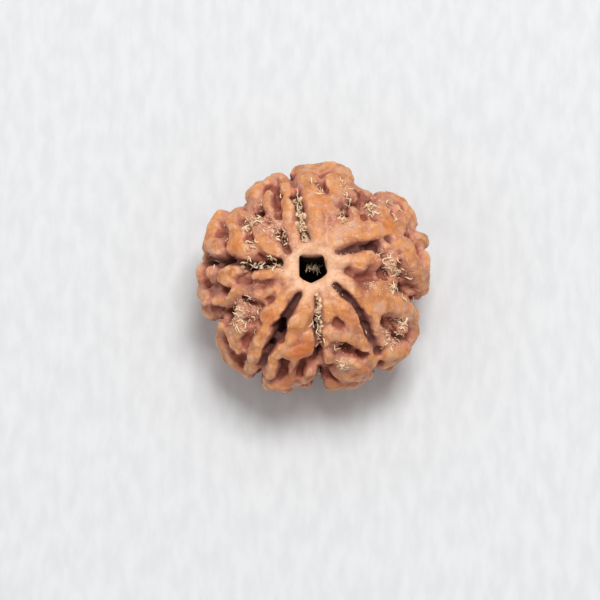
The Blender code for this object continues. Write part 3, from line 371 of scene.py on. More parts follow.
def stone_radius(direction):
    """The stone's radius along unit directions, before any furrow."""
    across = np.hypot(direction[..., 0], direction[..., 1]) / (STONE_REACH + side_swell(direction))
    along = np.abs(direction[..., 2]) / STONE_RISE
    radius = (across**STONE_POWER + along**STONE_POWER) ** (-1 / STONE_POWER)
    gap = np.hypot(direction[..., 0] * radius, direction[..., 1] * radius + CHANNEL_AHEAD)
    return radius - POLE_DIP * np.exp(-((gap / POLE_DIP_REACH) ** 2))


def from_channel(points):
    """The distance of a point, or of each of several, from the channel's axis."""
    points = np.asarray(points, float)
    return np.hypot(points[..., 0], points[..., 1] + CHANNEL_AHEAD)


def outward(points):
    """Unit directions from the stone's centre through the points."""
    points = np.asarray(points, float)
    return points / np.linalg.norm(points, axis=-1, keepdims=True)


def lifted(points, height):
    """The points moved along the lines to the centre, to that height above the stone."""
    direction = outward(points)
    return direction * (stone_radius(direction) + height)[..., None]


def crest(width):
    """How far the middle line of a ridge of that half width stands above the stone."""
    return CREST_BASE + (CREST_PER_WIDTH - 1) * np.asarray(width)


def seen_point(right, up, height):
    """The point that the drawing shows there, at that height above the stone, or the nearest to it."""
    sine = math.sin(VIEW_ELEVATION)
    cosine = math.cos(VIEW_ELEVATION)
    level = np.array((right, up * sine - CHANNEL_AHEAD, up * cosine + RIM_LEVEL))
    depth = np.arange(SIGHT_START, SIGHT_END, -SIGHT_STEP)
    line = level + depth[:, None] * np.array((0.0, -cosine, sine))
    distance = np.linalg.norm(line, axis=1)
    over = distance - stone_radius(line / distance[:, None]) - height
    inside = np.flatnonzero(over <= 0)
    return line[inside[0]] if len(inside) else line[np.argmin(over)]


def flank_point(bearing, fall):
    """A point on the stone by its bearing and its fall from the crown's pole, both in radians."""
    ring = STONE_REACH * math.sin(fall)
    ahead = CHANNEL_AHEAD * abs(math.cos(fall))
    level = STONE_RISE * math.cos(fall)
    return lifted((ring * math.cos(bearing), ring * math.sin(bearing) - ahead, level), 0.0)


def smooth_path(rows):
    """A Catmull-Rom path through rows of numbers, in steps of about PATH_STEP."""
    rows = np.asarray(rows, float)
    ends = np.vstack((2 * rows[0] - rows[1], rows, 2 * rows[-1] - rows[-2]))
    path = [rows[0]]
    for a, b, c, d in zip(ends, ends[1:], ends[2:], ends[3:]):
        steps = max(1, round(float(np.linalg.norm((c - b)[:3])) / PATH_STEP))
        for t in np.arange(1, steps + 1) / steps:
            curve = 2 * b + (c - a) * t + (2 * a - 5 * b + 4 * c - d) * t**2 + (3 * b - a - 3 * c + d) * t**3
            path.append(curve / 2)
    return np.array(path)


def tree_of(points):
    """A search tree for the nearest of the points."""
    tree = KDTree(len(points))
    for index, point in enumerate(points):
        tree.insert(Vector(point[:3]), index)
    tree.balance()
    return tree


def gap_to(tree, point):
    """The distance from the point to the tree's nearest one."""
    return tree.find(Vector(point[:3]))[2]


def gaps_to(tree, points):
    """The distance from each point to the tree's nearest one."""
    return np.array([tree.find(point)[2] for point in points])


def drawn_line(drawing):
    """A drawn line on the stone, as rows of x, y and z."""
    return smooth_path([seen_point(right, up, 0.0) for right, up in drawing])


def drawn_ridge(name):
    """The middle line of a drawn ridge, as rows of x, y, z and half width."""
    rows = []
    for right, up, width in RIDGES[name]:
        width *= DRAWN_SPREAD
        rows.append((*seen_point(right, up, crest(width)), width))
    return smooth_path(rows)


def seam_path(name):
    """A seam's line on the stone, from beside the channel over the crown and down to the underside."""
    rows = [seen_point(right, up, 0.0) for right, up in SEAMS[name]]
    x, y, z = rows[-1]
    fall = math.atan2(math.hypot(x, y) / STONE_REACH, z / STONE_RISE)
    bearing = math.atan2(y, x)
    sway = random.Random(name).uniform(-SEAM_SWAY, SEAM_SWAY)
    for step in range(1, SEAM_STEPS + 1):
        share = step / SEAM_STEPS
        turn = sway * math.sin(SEAM_SWAYS * math.tau * share)
        rows.append(flank_point(bearing + turn, fall + (SEAM_END - fall) * share))
    return smooth_path(rows)


def sideways(path):
    """Unit directions along the stone's surface and across the path."""
    across = np.cross(np.gradient(path, axis=0), outward(path))
    return across / np.linalg.norm(across, axis=1, keepdims=True)


def shoulder_piece(stretch, side, width):
    """One piece of a shoulder, beside a stretch of a seam and thinner at its ends."""
    belly = np.sin(np.linspace(0.0, math.pi, len(stretch)))
    widths = width * (SHOULDER_END + (1 - SHOULDER_END) * belly)
    offset = stretch + sideways(stretch) * side * (widths + SHOULDER_GAP)[:, None]
    return np.column_stack((lifted(offset, crest(widths)), widths))


def spur(piece, side, chance):
    """A short ridge that leads away from the seam, from somewhere along a shoulder's piece."""
    root = chance.randrange(2, len(piece) - 2)
    start = piece[root]
    away = sideways(piece[:, :3])[root] * side
    along = piece[root + 1, :3] - piece[root - 1, :3]
    along /= np.linalg.norm(along)
    width = chance.uniform(*NET_WIDTHS)
    tip = start[:3] + away * chance.uniform(*SPUR_REACH) + along * chance.uniform(-SPUR_DRIFT, SPUR_DRIFT)
    tip = lifted(tip, crest(width))
    return smooth_path((start, (*tip, width)))


def shoulders(seams, drawn_tree):
    """Broken ridges beside each seam, with spurs, where the drawing doesn't reach."""
    chance = random.Random(SHOULDER_SEED)
    made = []
    for seam in seams:
        for side in (-1, 1):
            start = chance.randint(0, SHOULDER_STEPS[0])
            while start < len(seam) - SHORTEST_SHOULDER:
                stretch = seam[start : start + chance.randint(*SHOULDER_STEPS)]
                start += len(stretch) + SHOULDER_BREAK
                piece = shoulder_piece(stretch, side, chance.uniform(*SHOULDER_WIDTHS))
                clear = min(gap_to(drawn_tree, row) for row in piece) > SHOULDER_CLEAR_OF_DRAWN
                if clear and min(from_channel(piece)) > SHOULDER_CLEAR_OF_CHANNEL:
                    made.append(piece)
                    made.append(spur(piece, side, chance))
    return made


def net_knots(seam_tree, ridge_tree, chance):
    """Knots scattered evenly over the stone, clear of the seams, the channel and the other ridges."""
    count = round(4 * math.pi * STONE_REACH * STONE_RISE / (math.sqrt(0.75) * NET_SPACING**2))
    knots = []
    for index in range(count):
        level = 1 - (2 * index + 1) / count
        turn = index * GOLDEN_ANGLE
        ring = math.sqrt(1 - level * level)
        direction = np.array((ring * math.cos(turn), ring * math.sin(turn), level))
        jitter = [chance.gauss(0, NET_JITTER) for axis in direction]
        width = chance.uniform(*NET_WIDTHS)
        point = lifted(direction * STONE_REACH + jitter, crest(width))
        clear = gap_to(ridge_tree, point) > NET_CLEAR_OF_RIDGES
        clear = clear and gap_to(seam_tree, point) > NET_CLEAR_OF_SEAM + width
        if clear and from_channel(point) > NET_CLEAR_OF_CHANNEL:
            knots.append((*point, width))
    return np.array(knots)


def knot_path(row):
    """A knot as a ridge so short that it is nearly a ball."""
    level = np.cross(row[:3], (0.0, 0.0, 1.0))
    tip = row.copy()
    tip[:3] += level / np.linalg.norm(level) * KNOT_LENGTH
    return np.array((row, tip))


def net(seams, ridges):
    """Knots, and links from each to its nearest neighbours and to the ends of the other ridges."""
    chance = random.Random(NET_SEED)
    seam_tree = tree_of(np.vstack(seams))
    knots = net_knots(seam_tree, tree_of(np.vstack(ridges)), chance)
    ends = np.array([ridge[end] for ridge in ridges for end in (0, -1)])
    rows = np.vstack((knots, ends))
    tree = tree_of(rows)
    pairs = set()
    made = []
    for index, row in enumerate(knots):
        made.append(knot_path(row))
        for place, other, gap in tree.find_n(Vector(row[:3]), 1 + chance.choice(LINKS_PER_KNOT))[1:]:
            bend = [chance.uniform(-LINK_BEND, LINK_BEND) for axis in place]
            width = LINK_WAIST * (row[3] + rows[other, 3]) / 2
            middle = lifted((row[:3] + rows[other, :3]) / 2 + bend, crest(width))
            link = smooth_path((row, (*middle, width), rows[other]))
            pair = (min(index, other), max(index, other))
            clear = min(gap_to(seam_tree, step) - step[3] for step in link) > LINK_CLEAR_OF_SEAM
            if gap < LINK_REACH and pair not in pairs and clear:
                pairs.add(pair)
                made.append(link)
    return made


def collars():
    """A closed ring of wood round each mouth of the channel."""
    turns = np.linspace(0, math.tau, COLLAR_POINTS + 1)
    reach = COLLAR_REACH + COLLAR_WAVE * np.sin(COLLAR_WAVES * turns)
    made = []
    for level in (STONE_RISE, -STONE_RISE):
        levels = np.full(len(turns), level)
        widths = np.full(len(turns), COLLAR_WIDTH)
        ring = np.column_stack((reach * np.cos(turns), reach * np.sin(turns) - CHANNEL_AHEAD, levels))
        made.append(np.column_stack((lifted(ring, COLLAR_LEVEL), widths)))
    return made


def plumped(path):
    """The path with wider half widths, lowered so that its crown stays where it was."""
    length = np.linalg.norm(path[:, :3], axis=1, keepdims=True)
    drop = path[:, 3:] * (RIDGE_PLUMPNESS - 1)
    return np.column_stack((path[:, :3] * (1 - drop / length), path[:, 3] * RIDGE_PLUMPNESS))


def rooted(path):
    """The ridge's root: the same path, deeper in the stone."""
    length = np.linalg.norm(path[:, :3], axis=1, keepdims=True)
    return np.column_stack((path[:, :3] * (1 - ROOT_DROP / length), path[:, 3]))


def waved(path):
    """The path with its half widths varied a little along it."""
    path = path.copy()
    for row in path:
        row[3] *= 1 + WIDTH_WAVE * noise.noise(Vector(row[:3]) / WIDTH_WAVE_LENGTH)
    return path


def round_ended(path):
    """The path with three more rows past each end, where the ridge closes in a round cap."""
    caps = []
    for end, inner in ((0, 1), (-1, -2)):
        tip = path[end]
        away = tip[:3] - path[inner, :3]
        away *= tip[3] / np.linalg.norm(away)
        caps.append([(*(tip[:3] + away * step), tip[3] * math.sqrt(1 - step**2)) for step in CAP_STEPS])
    return np.vstack((caps[0][::-1], path, caps[1]))


def in_scene(name, data):
    """A new object of that data, in the scene."""
    thing = bpy.data.objects.new(name, data)
    bpy.context.scene.collection.objects.link(thing)
    return thing


def mesh_from(shape, name):
    """A new mesh of the shape. The shape is freed."""
    mesh = bpy.data.meshes.new(name)
    shape.to_mesh(mesh)
    shape.free()
    return mesh


def mesh_of(guide):
    """The mesh that an object's modifiers or its curve make. The object is deleted."""
    mesh = bpy.data.meshes.new_from_object(guide.evaluated_get(bpy.context.evaluated_depsgraph_get()))
    bpy.data.objects.remove(guide)
    return mesh


def ridge_mesh(paths):
    """One mesh of closed round ridges, each swept along its path."""
    curve = bpy.data.curves.new("ridges", "CURVE")
    curve.dimensions = "3D"
    curve.bevel_depth = MM
    curve.bevel_resolution = RIDGE_SIDES
    curve.use_fill_caps = True
    for path in paths:
        rows = round_ended(waved(path))
        spline = curve.splines.new("POLY")
        spline.points.add(len(rows) - 1)
        for point, (x, y, z, width) in zip(spline.points, rows):
            point.co = (x * MM, y * MM, z * MM, 1.0)
            point.radius = width
    return mesh_of(in_scene("ridge_guide", curve))


def bell(gap, reach):
    """One at no gap, falling smoothly to nearly nothing at twice the reach."""
    return np.exp(-((gap / reach) ** 2))


def points_of(mesh):
    """The mesh's points in millimetres, one in each row."""
    points = np.empty(3 * len(mesh.vertices))
    mesh.vertices.foreach_get("co", points)
    return points.reshape(-1, 3) / MM


def move_points(mesh, points):
    """Puts the mesh's points at these places, in millimetres."""
    mesh.vertices.foreach_set("co", (points * MM).ravel())
    mesh.update()


def smooth_step(share):
    """The share from nought to one, eased at both ends."""
    share = np.clip(share, 0.0, 1.0)
    return share * share * (3 - 2 * share)


def fills(surface, ridges):
    """How much of the fill's rise each point of the bare stone has, from nought to one."""
    rows = np.vstack(ridges)
    places = lifted(rows[:, :3], np.zeros(len(rows)))
    owners = np.repeat(np.arange(len(ridges)), [len(ridge) for ridge in ridges])
    tree = tree_of(places)
    made = np.zeros(len(surface))
    for index, point in enumerate(surface):
        nearest = {}
        for place, row, gap in tree.find_range(Vector(point), BORDER_SEARCH):
            share = gap / rows[row, 3]
            if share < nearest.get(owners[row], (FILL_TO, 0))[0]:
                nearest[owners[row]] = (share, row)
        if nearest:
            made[index] = fill_at(sorted(nearest.values())[:2], rows, places)
    return made


def fill_at(nearest, rows, places):
    """The fill where those are the nearest one or two ridges, as gaps in half widths and rows."""
    share, row = nearest[0]
    fill = smooth_step((FILL_TO - share) / (FILL_TO - FILL_FROM))
    if len(nearest) == 2:
        next_share, next_row = nearest[1]
        width = (rows[row, 3] + rows[next_row, 3]) / 2
        apart = np.linalg.norm(places[row] - places[next_row]) / width - JOINED_GAP
        border = bell((next_share - share) * width / 2, BORDER_REACH)
        fill -= BORDER_SINK * border * smooth_step(apart)
    return max(fill, 0.0)


def stone_mesh(seams, ridges, valleys):
    """The bare stone, with its furrows, its valleys and its hollows between ridges."""
    shape = bmesh.new()
    bmesh.ops.create_icosphere(shape, subdivisions=STONE_SUBDIVISIONS, radius=STONE_REACH * MM)
    mesh = mesh_from(shape, "stone")
    direction = outward(points_of(mesh))
    radius = stone_radius(direction)
    surface = direction * radius[:, None]
    ring = np.hypot(surface[:, 0], surface[:, 1]) / STONE_REACH
    flank = np.where(surface[:, 2] > 0, ring**2, 1.0)
    lost_fill = np.where(surface[:, 2] > 0, ring**4, 1.0)
    to_seam = gaps_to(tree_of(np.vstack(seams)), surface)
    between = 1 - bell(gaps_to(tree_of(np.vstack(ridges)), surface), HOLLOW_REACH)
    sink = (FURROW_DEPTH + FLANK_FURROW_DEPTH * flank) * bell(to_seam, FURROW_REACH)
    sink += DIP_DEPTH * bell(to_seam, DIP_REACH)
    sink += (HOLLOW_DEPTH + FLANK_HOLLOW_DEPTH * flank) * between
    in_valley = bell(gaps_to(tree_of(np.vstack(valleys)), surface), VALLEY_REACH)
    sink += VALLEY_DEPTH * in_valley
    rise = (FILL_RISE - FLANK_FILL_LOSS * lost_fill) * fills(surface, ridges)
    sink -= rise * (1 - bell(to_seam, FILL_CLEAR_OF_SEAM)) * (1 - in_valley)
    sink *= 1 - np.exp(-((from_channel(surface) / FURROW_START) ** FURROW_START_POWER))
    move_points(mesh, direction * (radius - sink)[:, None])
    return mesh


def joined_mesh(meshes):
    """One mesh that holds all of them, with the ridges' caps welded."""
    shape = bmesh.new()
    for mesh in meshes:
        shape.from_mesh(mesh)
    bmesh.ops.remove_doubles(shape, verts=shape.verts, dist=WELD_DISTANCE)
    return mesh_from(shape, "joined")


def pits_pressed(points):
    """The points with each drawn pit sunk into them, along the lines to the stone's centre."""
    for right, up, reach, depth in PITS:
        centre = seen_point(right, up, PIT_LEVEL)
        gap = np.linalg.norm(points - centre, axis=1)
        points = points - outward(points) * (depth * bell(gap, reach))[:, None]
    return points


def grooves_pressed(points, seams):
    """The points with the seams and the drawn grooves sunk into them, towards the stone's centre."""
    surface = lifted(points, np.zeros(len(points)))
    fade = 1 - np.exp(-((from_channel(surface) / FURROW_START) ** FURROW_START_POWER))
    sink = SEAM_PRESS * bell(gaps_to(tree_of(np.vstack(seams)), surface), SEAM_PRESS_REACH) * fade
    for depth, reach, drawing in GROOVES:
        path = drawn_line(drawing)
        near = np.linalg.norm(surface - path[0], axis=1) < GROOVE_SEARCH
        sink[near] += depth * bell(gaps_to(tree_of(path), surface[near]), reach)
    return points - outward(points) * sink[:, None]


def made_uneven(points):
    """The points shifted a little, by a noise that neighbours share, so that no ridge stays regular."""
    noise.seed_set(UNEVEN_SEED)
    places = [Vector(point) / UNEVEN_LENGTH for point in points]
    waves = np.array([noise.turbulence_vector(place, UNEVEN_OCTAVES, False) for place in places])
    return points + waves * UNEVEN_HEIGHT


def fused(mesh, voxel):
    """One skin round all of the mesh's bodies."""
    guide = in_scene("fuse_guide", mesh)
    remesh = guide.modifiers.new("fuse", "REMESH")
    remesh.mode = "VOXEL"
    remesh.voxel_size = voxel * MM
    return mesh_of(guide)


def channel_cutter():
    """A five-sided prism through the whole stone."""
    shape = bmesh.new()
    rings = []
    for level in (-CHANNEL_HALF_LENGTH, CHANNEL_HALF_LENGTH):
        ring = []
        for right, up in CHANNEL_CORNERS:
            place = (right, up / math.sin(VIEW_ELEVATION) - CHANNEL_AHEAD, level)
            ring.append(shape.verts.new(Vector(place) * MM))
        shape.faces.new(ring)
        rings.append(ring)
    lower, upper = rings
    for index, corner in enumerate(lower):
        shape.faces.new((corner, lower[index - 1], upper[index - 1], upper[index]))
    bmesh.ops.recalc_face_normals(shape, faces=shape.faces)
    return in_scene("channel", mesh_from(shape, "channel"))


def channel_cut(mesh):
    """The mesh with the channel cut through it."""
    cutter = channel_cutter()
    guide = in_scene("cut_guide", mesh)
    guide.modifiers.new("cut", "BOOLEAN").object = cutter
    cut = mesh_of(guide)
    bpy.data.objects.remove(cutter)
    return cut


def largest_body(mesh):
    """Deletes all but the largest connected skin, so that no sealed pocket stays."""
    shape = bmesh.new()
    shape.from_mesh(mesh)
    left = set(shape.verts)
    largest = set()
    while left:
        body = {left.pop()}
        front = list(body)
        while front:
            vertex = front.pop()
            reached = {edge.other_vert(vertex) for edge in vertex.link_edges} & left
            left -= reached
            body |= reached
            front.extend(reached)
        largest = max(largest, body, key=len)
    loose = [vertex for vertex in shape.verts if vertex not in largest]
    bmesh.ops.delete(shape, geom=loose, context="VERTS")
    shape.to_mesh(mesh)
    shape.free()
    return mesh


def thinned(mesh, triangles):
    """The mesh with short edges collapsed until about that many triangles are left."""
    guide = in_scene("thin_guide", mesh)
    thin = guide.modifiers.new("thin", "DECIMATE")
    thin.ratio = triangles / sum(len(face.vertices) - 2 for face in mesh.polygons)
    return mesh_of(guide)


class Skin:
    """A mesh's points and edges as arrays, for smoothing and for finding creases."""

    def __init__(self, mesh):
        self.points = points_of(mesh)
        edges = np.empty(2 * len(mesh.edges), int)
        mesh.edges.foreach_get("vertices", edges)
        self.edges = edges.reshape(-1, 2)
        self.links = np.bincount(edges, minlength=len(self.points))

    def mean(self, values):
        """Each point's mean of its neighbours' values."""
        total = np.zeros_like(values)
        for here, there in (self.edges.T, self.edges.T[::-1]):
            for column in range(values.shape[1]):
                total[:, column] += np.bincount(here, values[there, column], len(values))
        return total / self.links[:, None]

    def smooth(self, values, times):
        """The values with each point's share of its neighbours mixed in, that many times."""
        for step in range(times):
            values = (values + self.mean(values)) / 2
        return values


def normals_of(mesh):
    """The mesh's point normals, one in each row."""
    normals = np.empty(3 * len(mesh.vertices))
    mesh.vertex_normals.foreach_get("vector", normals)
    return normals.reshape(-1, 3)


# Creases between plump ridges are narrow: hollow places of the fused skin are sunk a little more.
SOFTENING = 2
CREASE_STEPS = 24
CREASE_SHARPNESS = 1.3
DEEPEST_CREASE = 0.42

# Handling has worn the crowns down to a level. The wood is lumpy, with creases between its lumps, and has
# finer wrinkles. The ground of the valleys is rough.
CROWN_LEVEL = 0.6
CROWN_KEPT = 0.45
CROWN_START = 0.3
CROWN_END = 0.75
LUMP_SIZE = 1.45
LUMP_WARP = 0.35
LUMP_WARP_SCALE = 1.7
LUMP_CREASE_REACH = 0.16
LUMP_CREASE_DEPTH = 0.1
SWELL_SIZE = 1.1
SWELL_HEIGHT = 0.1
WRINKLE_SIZE = 0.42
WRINKLE_HEIGHT = 0.02
WRINKLE_SHIFT = 3.0
ROUGH_SIZE = 0.3
ROUGH_HEIGHT = 0.16
ROUGH_SHIFT = 7.0
ROUGH_REACH = 1.2
SMOOTH_COLLAR_REACH = COLLAR_REACH + 1.0


def worn_down(points):
    """The points with the crown's ridges pressed down towards their level."""
    over = np.maximum(np.linalg.norm(points, axis=1) - stone_radius(outward(points)) - CROWN_LEVEL, 0.0)
    upper = smooth_step((points[:, 2] / STONE_RISE - CROWN_START) / (CROWN_END - CROWN_START))
    return points - outward(points) * (over * (1 - CROWN_KEPT) * upper)[:, None]


def wave(points, size):
    """Smooth noise at each point, from about minus one to one."""
    return np.array([noise.noise(Vector(point) / size) for point in points])


def lump_creases(points):
    """One in the creases between the wood's lumps, and nought inside a lump."""
    creases = []
    for point in points:
        place = Vector(point) / LUMP_SIZE
        near = noise.voronoi(place + noise.noise_vector(place * LUMP_WARP_SCALE) * LUMP_WARP)[0]
        creases.append(near[1] - near[0])
    return bell(np.array(creases), LUMP_CREASE_REACH)


def relief(points, rough):
    """The wood's fine relief, in millimetres outwards. The valleys' ground is rougher."""
    height = SWELL_HEIGHT * wave(points, SWELL_SIZE) - LUMP_CREASE_DEPTH * lump_creases(points)
    height -= WRINKLE_HEIGHT * (1 - np.abs(wave(points + WRINKLE_SHIFT, WRINKLE_SIZE)) * 2)
    return height + rough * ROUGH_HEIGHT * wave(points + ROUGH_SHIFT, ROUGH_SIZE)


seams = [seam_path(name) for name in SEAMS]
valleys = [drawn_line(drawing) for drawing in VALLEYS.values()]
drawn = [drawn_ridge(name) for name in RIDGES]
ridges = drawn + shoulders(seams, tree_of(np.vstack(drawn)))
ridges += net(seams, ridges)
raised = [plumped(path) for path in ridges] + collars()
stone = stone_mesh(seams, ridges, valleys)
stone = joined_mesh((stone, ridge_mesh(raised + [rooted(path) for path in raised])))
move_points(stone, made_uneven(grooves_pressed(pits_pressed(points_of(stone)), seams)))
stone = channel_cut(largest_body(fused(stone, FIRST_VOXEL)))
stone = largest_body(fused(stone, VOXEL))

skin = Skin(stone)
move_points(stone, worn_down(skin.smooth(skin.points, SOFTENING)))
skin.points = points_of(stone)
hollow = np.sum((skin.smooth(skin.points, CREASE_STEPS) - skin.points) * normals_of(stone), axis=1)
offset = -np.clip(hollow * CREASE_SHARPNESS, 0.0, DEEPEST_CREASE)
rough = bell(gaps_to(tree_of(np.vstack(valleys)), lifted(skin.points, np.zeros(len(offset)))), ROUGH_REACH)
smooth_collar = bell(from_channel(skin.points), SMOOTH_COLLAR_REACH)
offset += relief(skin.points, rough) * (1 - smooth_collar)
move_points(stone, skin.points + normals_of(stone) * offset[:, None])
stone = thinned(stone, STONE_TRIANGLES)
skin = Skin(stone)

# Masks over the stone: how open a point lies to the air, how hollow its surroundings are, how high it stands
# over the bare stone, how near a seam, a valley, the collar or the channel it is, and where listed patches of
# darker brown and of deep orange lie. The material paints shade where little sky reaches and in creases, and
# a highlight on the most convex crests; the deep orange patches on the stone's lower, near side are partly
# painted shade.
SEAM_TINT_REACH = 0.7
VALLEY_TINT_REACH = 1.2
COLLAR_TINT_REACH = 2.75
COLLAR_TINT_FADE = 0.35
COLLAR_TINT_WAVE = 1.2
COLLAR_TINT_WAVE_SIZE = 0.9
BORE_REACH = 1.95
BORE_DEPTH = 0.55
HOLLOW_STEPS = 36
HOLLOW_SCALE = 0.25
SKY_RAYS = 28
SKY_REACH = 3.0
SKY_LIFT = 0.04
OPEN_SMOOTHING = 2
LEVEL_RAY = 0.1
PATCH_LEVEL = 0.3

# Patches of darker brown, nearly all over pits, grooves and valleys, and patches of deep orange, which on the
# stone's lower, near side are partly painted shade, as (right, up, reach, amount).
DARK_PATCHES = (
    (4.9, -1.2, 1.2, 0.9),
    (5.6, -0.3, 1.0, 0.7),
    (3.4, 0.3, 0.7, 0.5),
    (8.3, -1.5, 1.0, 0.8),
    (2.8, 6.2, 0.7, 0.8),
    (3.6, 6.9, 0.6, 0.8),
    (5.0, 7.2, 0.8, 0.7),
    (5.6, 5.6, 0.8, 0.6),
    (10.4, 2.2, 0.7, 0.8),
    (10.6, 0.8, 0.6, 0.7),
    (-5.0, 5.4, 0.9, 0.7),
    (-4.0, 7.0, 0.6, 0.6),
    (-8.7, 4.0, 0.8, 0.7),
    (-2.9, 2.9, 0.8, 0.7),
    (-9.8, -1.2, 1.2, 0.6),
    (-6.2, -1.6, 1.0, 0.6),
    (-4.2, -1.6, 0.8, 0.6),
    (-7.2, -4.0, 1.2, 0.35),
    (2.6, -5.6, 0.8, 0.6),
    (2.8, -8.0, 1.0, 0.9),
    (-1.2, -9.8, 1.0, 0.7),
    (-2.8, -9.6, 0.8, 0.7),
    (7.6, -5.6, 0.7, 0.6),
)
# The first four, on the stone's lower, near side, are partly painted shade.
DEEP_ORANGE_AND_SHADE_PATCHES = (
    (-1.0, -7.8, 1.5, 0.9),
    (-2.5, -10.6, 1.6, 1.0),
    (2.2, -11.0, 1.2, 0.8),
    (4.8, -9.8, 1.2, 0.7),
    (0.9, 6.5, 1.3, 0.5),
    (7.4, 4.3, 1.2, 0.6),
    (-7.4, 2.2, 1.2, 0.5),
    (-10.6, 0.0, 1.0, 0.7),
    (-4.2, -4.6, 1.0, 0.6),
    (3.6, -4.6, 1.2, 0.5),
    (9.0, -7.6, 1.2, 0.5),
)


def add_mask(mesh, name, values):
    """Stores one number for each point, for the materials and for the scattered scraps."""
    mesh.attributes.new(name, "FLOAT", "POINT").data.foreach_set("value", values.astype(np.float32))


def patch_mask(patches, points):
    """How strongly the drawn patches cover each point."""
    share = np.zeros(len(points))
    for right, up, reach, amount in patches:
        gap = np.linalg.norm(points - seen_point(right, up, PATCH_LEVEL), axis=1)
        share = np.maximum(share, amount * bell(gap, reach))
    return share


def sky_rays():
    """Directions spread evenly over a ball."""
    level = 1 - (2 * np.arange(SKY_RAYS) + 1) / SKY_RAYS
    turn = np.arange(SKY_RAYS) * GOLDEN_ANGLE
    ring = np.sqrt(1 - level * level)
    return np.column_stack((ring * np.cos(turn), ring * np.sin(turn), level))


def openness(mesh, points, normals):
    """The share of the air over each point that no near wood hides."""
    tree = BVHTree.FromPolygons(points.tolist(), [tuple(face.vertices) for face in mesh.polygons])
    rays = sky_rays()
    facing = normals @ rays.T
    seen = np.zeros(len(points))
    starts = points + normals * SKY_LIFT
    for index, start in enumerate(starts):
        for ray in np.flatnonzero(facing[index] > LEVEL_RAY):
            if tree.ray_cast(start, rays[ray], SKY_REACH)[0] is None:
                seen[index] += facing[index, ray]
    return seen / np.where(facing > LEVEL_RAY, facing, 0.0).sum(axis=1)


points = points_of(stone)
normals = normals_of(stone)
height = np.linalg.norm(points, axis=1) - stone_radius(outward(points))
surface = lifted(points, np.zeros(len(points)))
skin.points = points
hollow = np.sum((skin.smooth(points, HOLLOW_STEPS) - points) * normals, axis=1)
to_valley = gaps_to(tree_of(np.vstack(valleys)), surface)
to_seam = gaps_to(tree_of(np.vstack(seams)), surface)
in_bore = (from_channel(points) < BORE_REACH) & (height < -BORE_DEPTH)
from_rim = from_channel(points) + COLLAR_TINT_WAVE * wave(points, COLLAR_TINT_WAVE_SIZE)
collar = 1 / (1 + np.exp((from_rim - COLLAR_TINT_REACH) / COLLAR_TINT_FADE))
masks = {
    "open": skin.smooth(openness(stone, points, normals)[:, None], OPEN_SMOOTHING)[:, 0],
    "hollow": np.clip(hollow / HOLLOW_SCALE, -1, 1),
    "height": height,
    "seam": bell(to_seam, SEAM_TINT_REACH),
    "valley": bell(to_valley, VALLEY_TINT_REACH),
    "collar": collar * (points[:, 2] > 0),
    "bore": in_bore.astype(float),
    "dark_patch": patch_mask(DARK_PATCHES, points),
    "deep_orange_and_shade": patch_mask(DEEP_ORANGE_AND_SHADE_PATCHES, points),
}
for name, values in masks.items():
    add_mask(stone, name, values)

middle_x, middle_y = (points.min(axis=0) + points.max(axis=0))[:2] / 2
cad_middle = (np.array(cad_box[0]) + np.array(cad_box[1])) / 2 / MM
shift = Vector((cad_middle[0] - middle_x, cad_middle[1] - middle_y, SEAT_DEPTH)) * MM
stone.transform(Matrix.Translation(shift))
placed = points_of(stone)
placed[:, 2] = np.maximum(placed[:, 2], 0.0)
move_points(stone, placed)
stone.shade_smooth()

seed = in_scene("rudraksha_stone", stone)


def add_node(tree, kind, inputs=None, **settings):
    """A node with its settings, and with a value or a link at each named or numbered input."""
    node = tree.nodes.new(kind)
    for name, value in settings.items():
        setattr(node, name, value)
    for name, value in (inputs or {}).items():
        if isinstance(value, bpy.types.NodeSocket):
            tree.links.new(value, node.inputs[name])
        else:
            node.inputs[name].default_value = value
    return node


def mixed(tree, share, first, second):
    """A colour between two others."""
    node = add_node(tree, "ShaderNodeMix", {0: share, 6: first, 7: second}, data_type="RGBA")
    return node.outputs[2]


def maths(tree, operation, first, second=0.0, clamp=False):
    """One number out of two."""
    node = add_node(tree, "ShaderNodeMath", {0: first, 1: second}, operation=operation, use_clamp=clamp)
    return node.outputs[0]


def ramp(tree, value, low, high):
    """A number that rises smoothly from nought at low to one at high."""
    inputs = {"Value": value, "From Min": low, "From Max": high}
    return add_node(tree, "ShaderNodeMapRange", inputs, interpolation_type="SMOOTHSTEP").outputs[0]


def mask(tree, name):
    """One of the stone's masks."""
    return add_node(tree, "ShaderNodeAttribute", attribute_name=name).outputs["Fac"]


def grain(tree, size, detail=3.0, roughness=0.5, distortion=0.0):
    """Noise with features of about that size in millimetres, fixed to the piece."""
    place = add_node(tree, "ShaderNodeTexCoord").outputs["Object"]
    inputs = {"Vector": place, "Scale": 1 / (size * MM), "Detail": detail, "Roughness": roughness}
    inputs["Distortion"] = distortion
    return add_node(tree, "ShaderNodeTexNoise", inputs).outputs["Fac"]


CROWN_TAN = (0.61, 0.33, 0.22, 1.0)
CROWN_ORANGE = (0.66, 0.27, 0.085, 1.0)
CROWN_BROWN = (0.42, 0.135, 0.045, 1.0)
DEEP_ORANGE_AND_SHADE = (0.55, 0.145, 0.03, 1.0)
PATCH_BROWN = (0.27, 0.08, 0.055, 1.0)
WORN_AND_HIGHLIGHT_PEACH = (0.78, 0.49, 0.32, 1.0)
FLANK_PINK = (0.56, 0.235, 0.16, 1.0)
LOW_MAUVE = (0.40, 0.115, 0.065, 1.0)
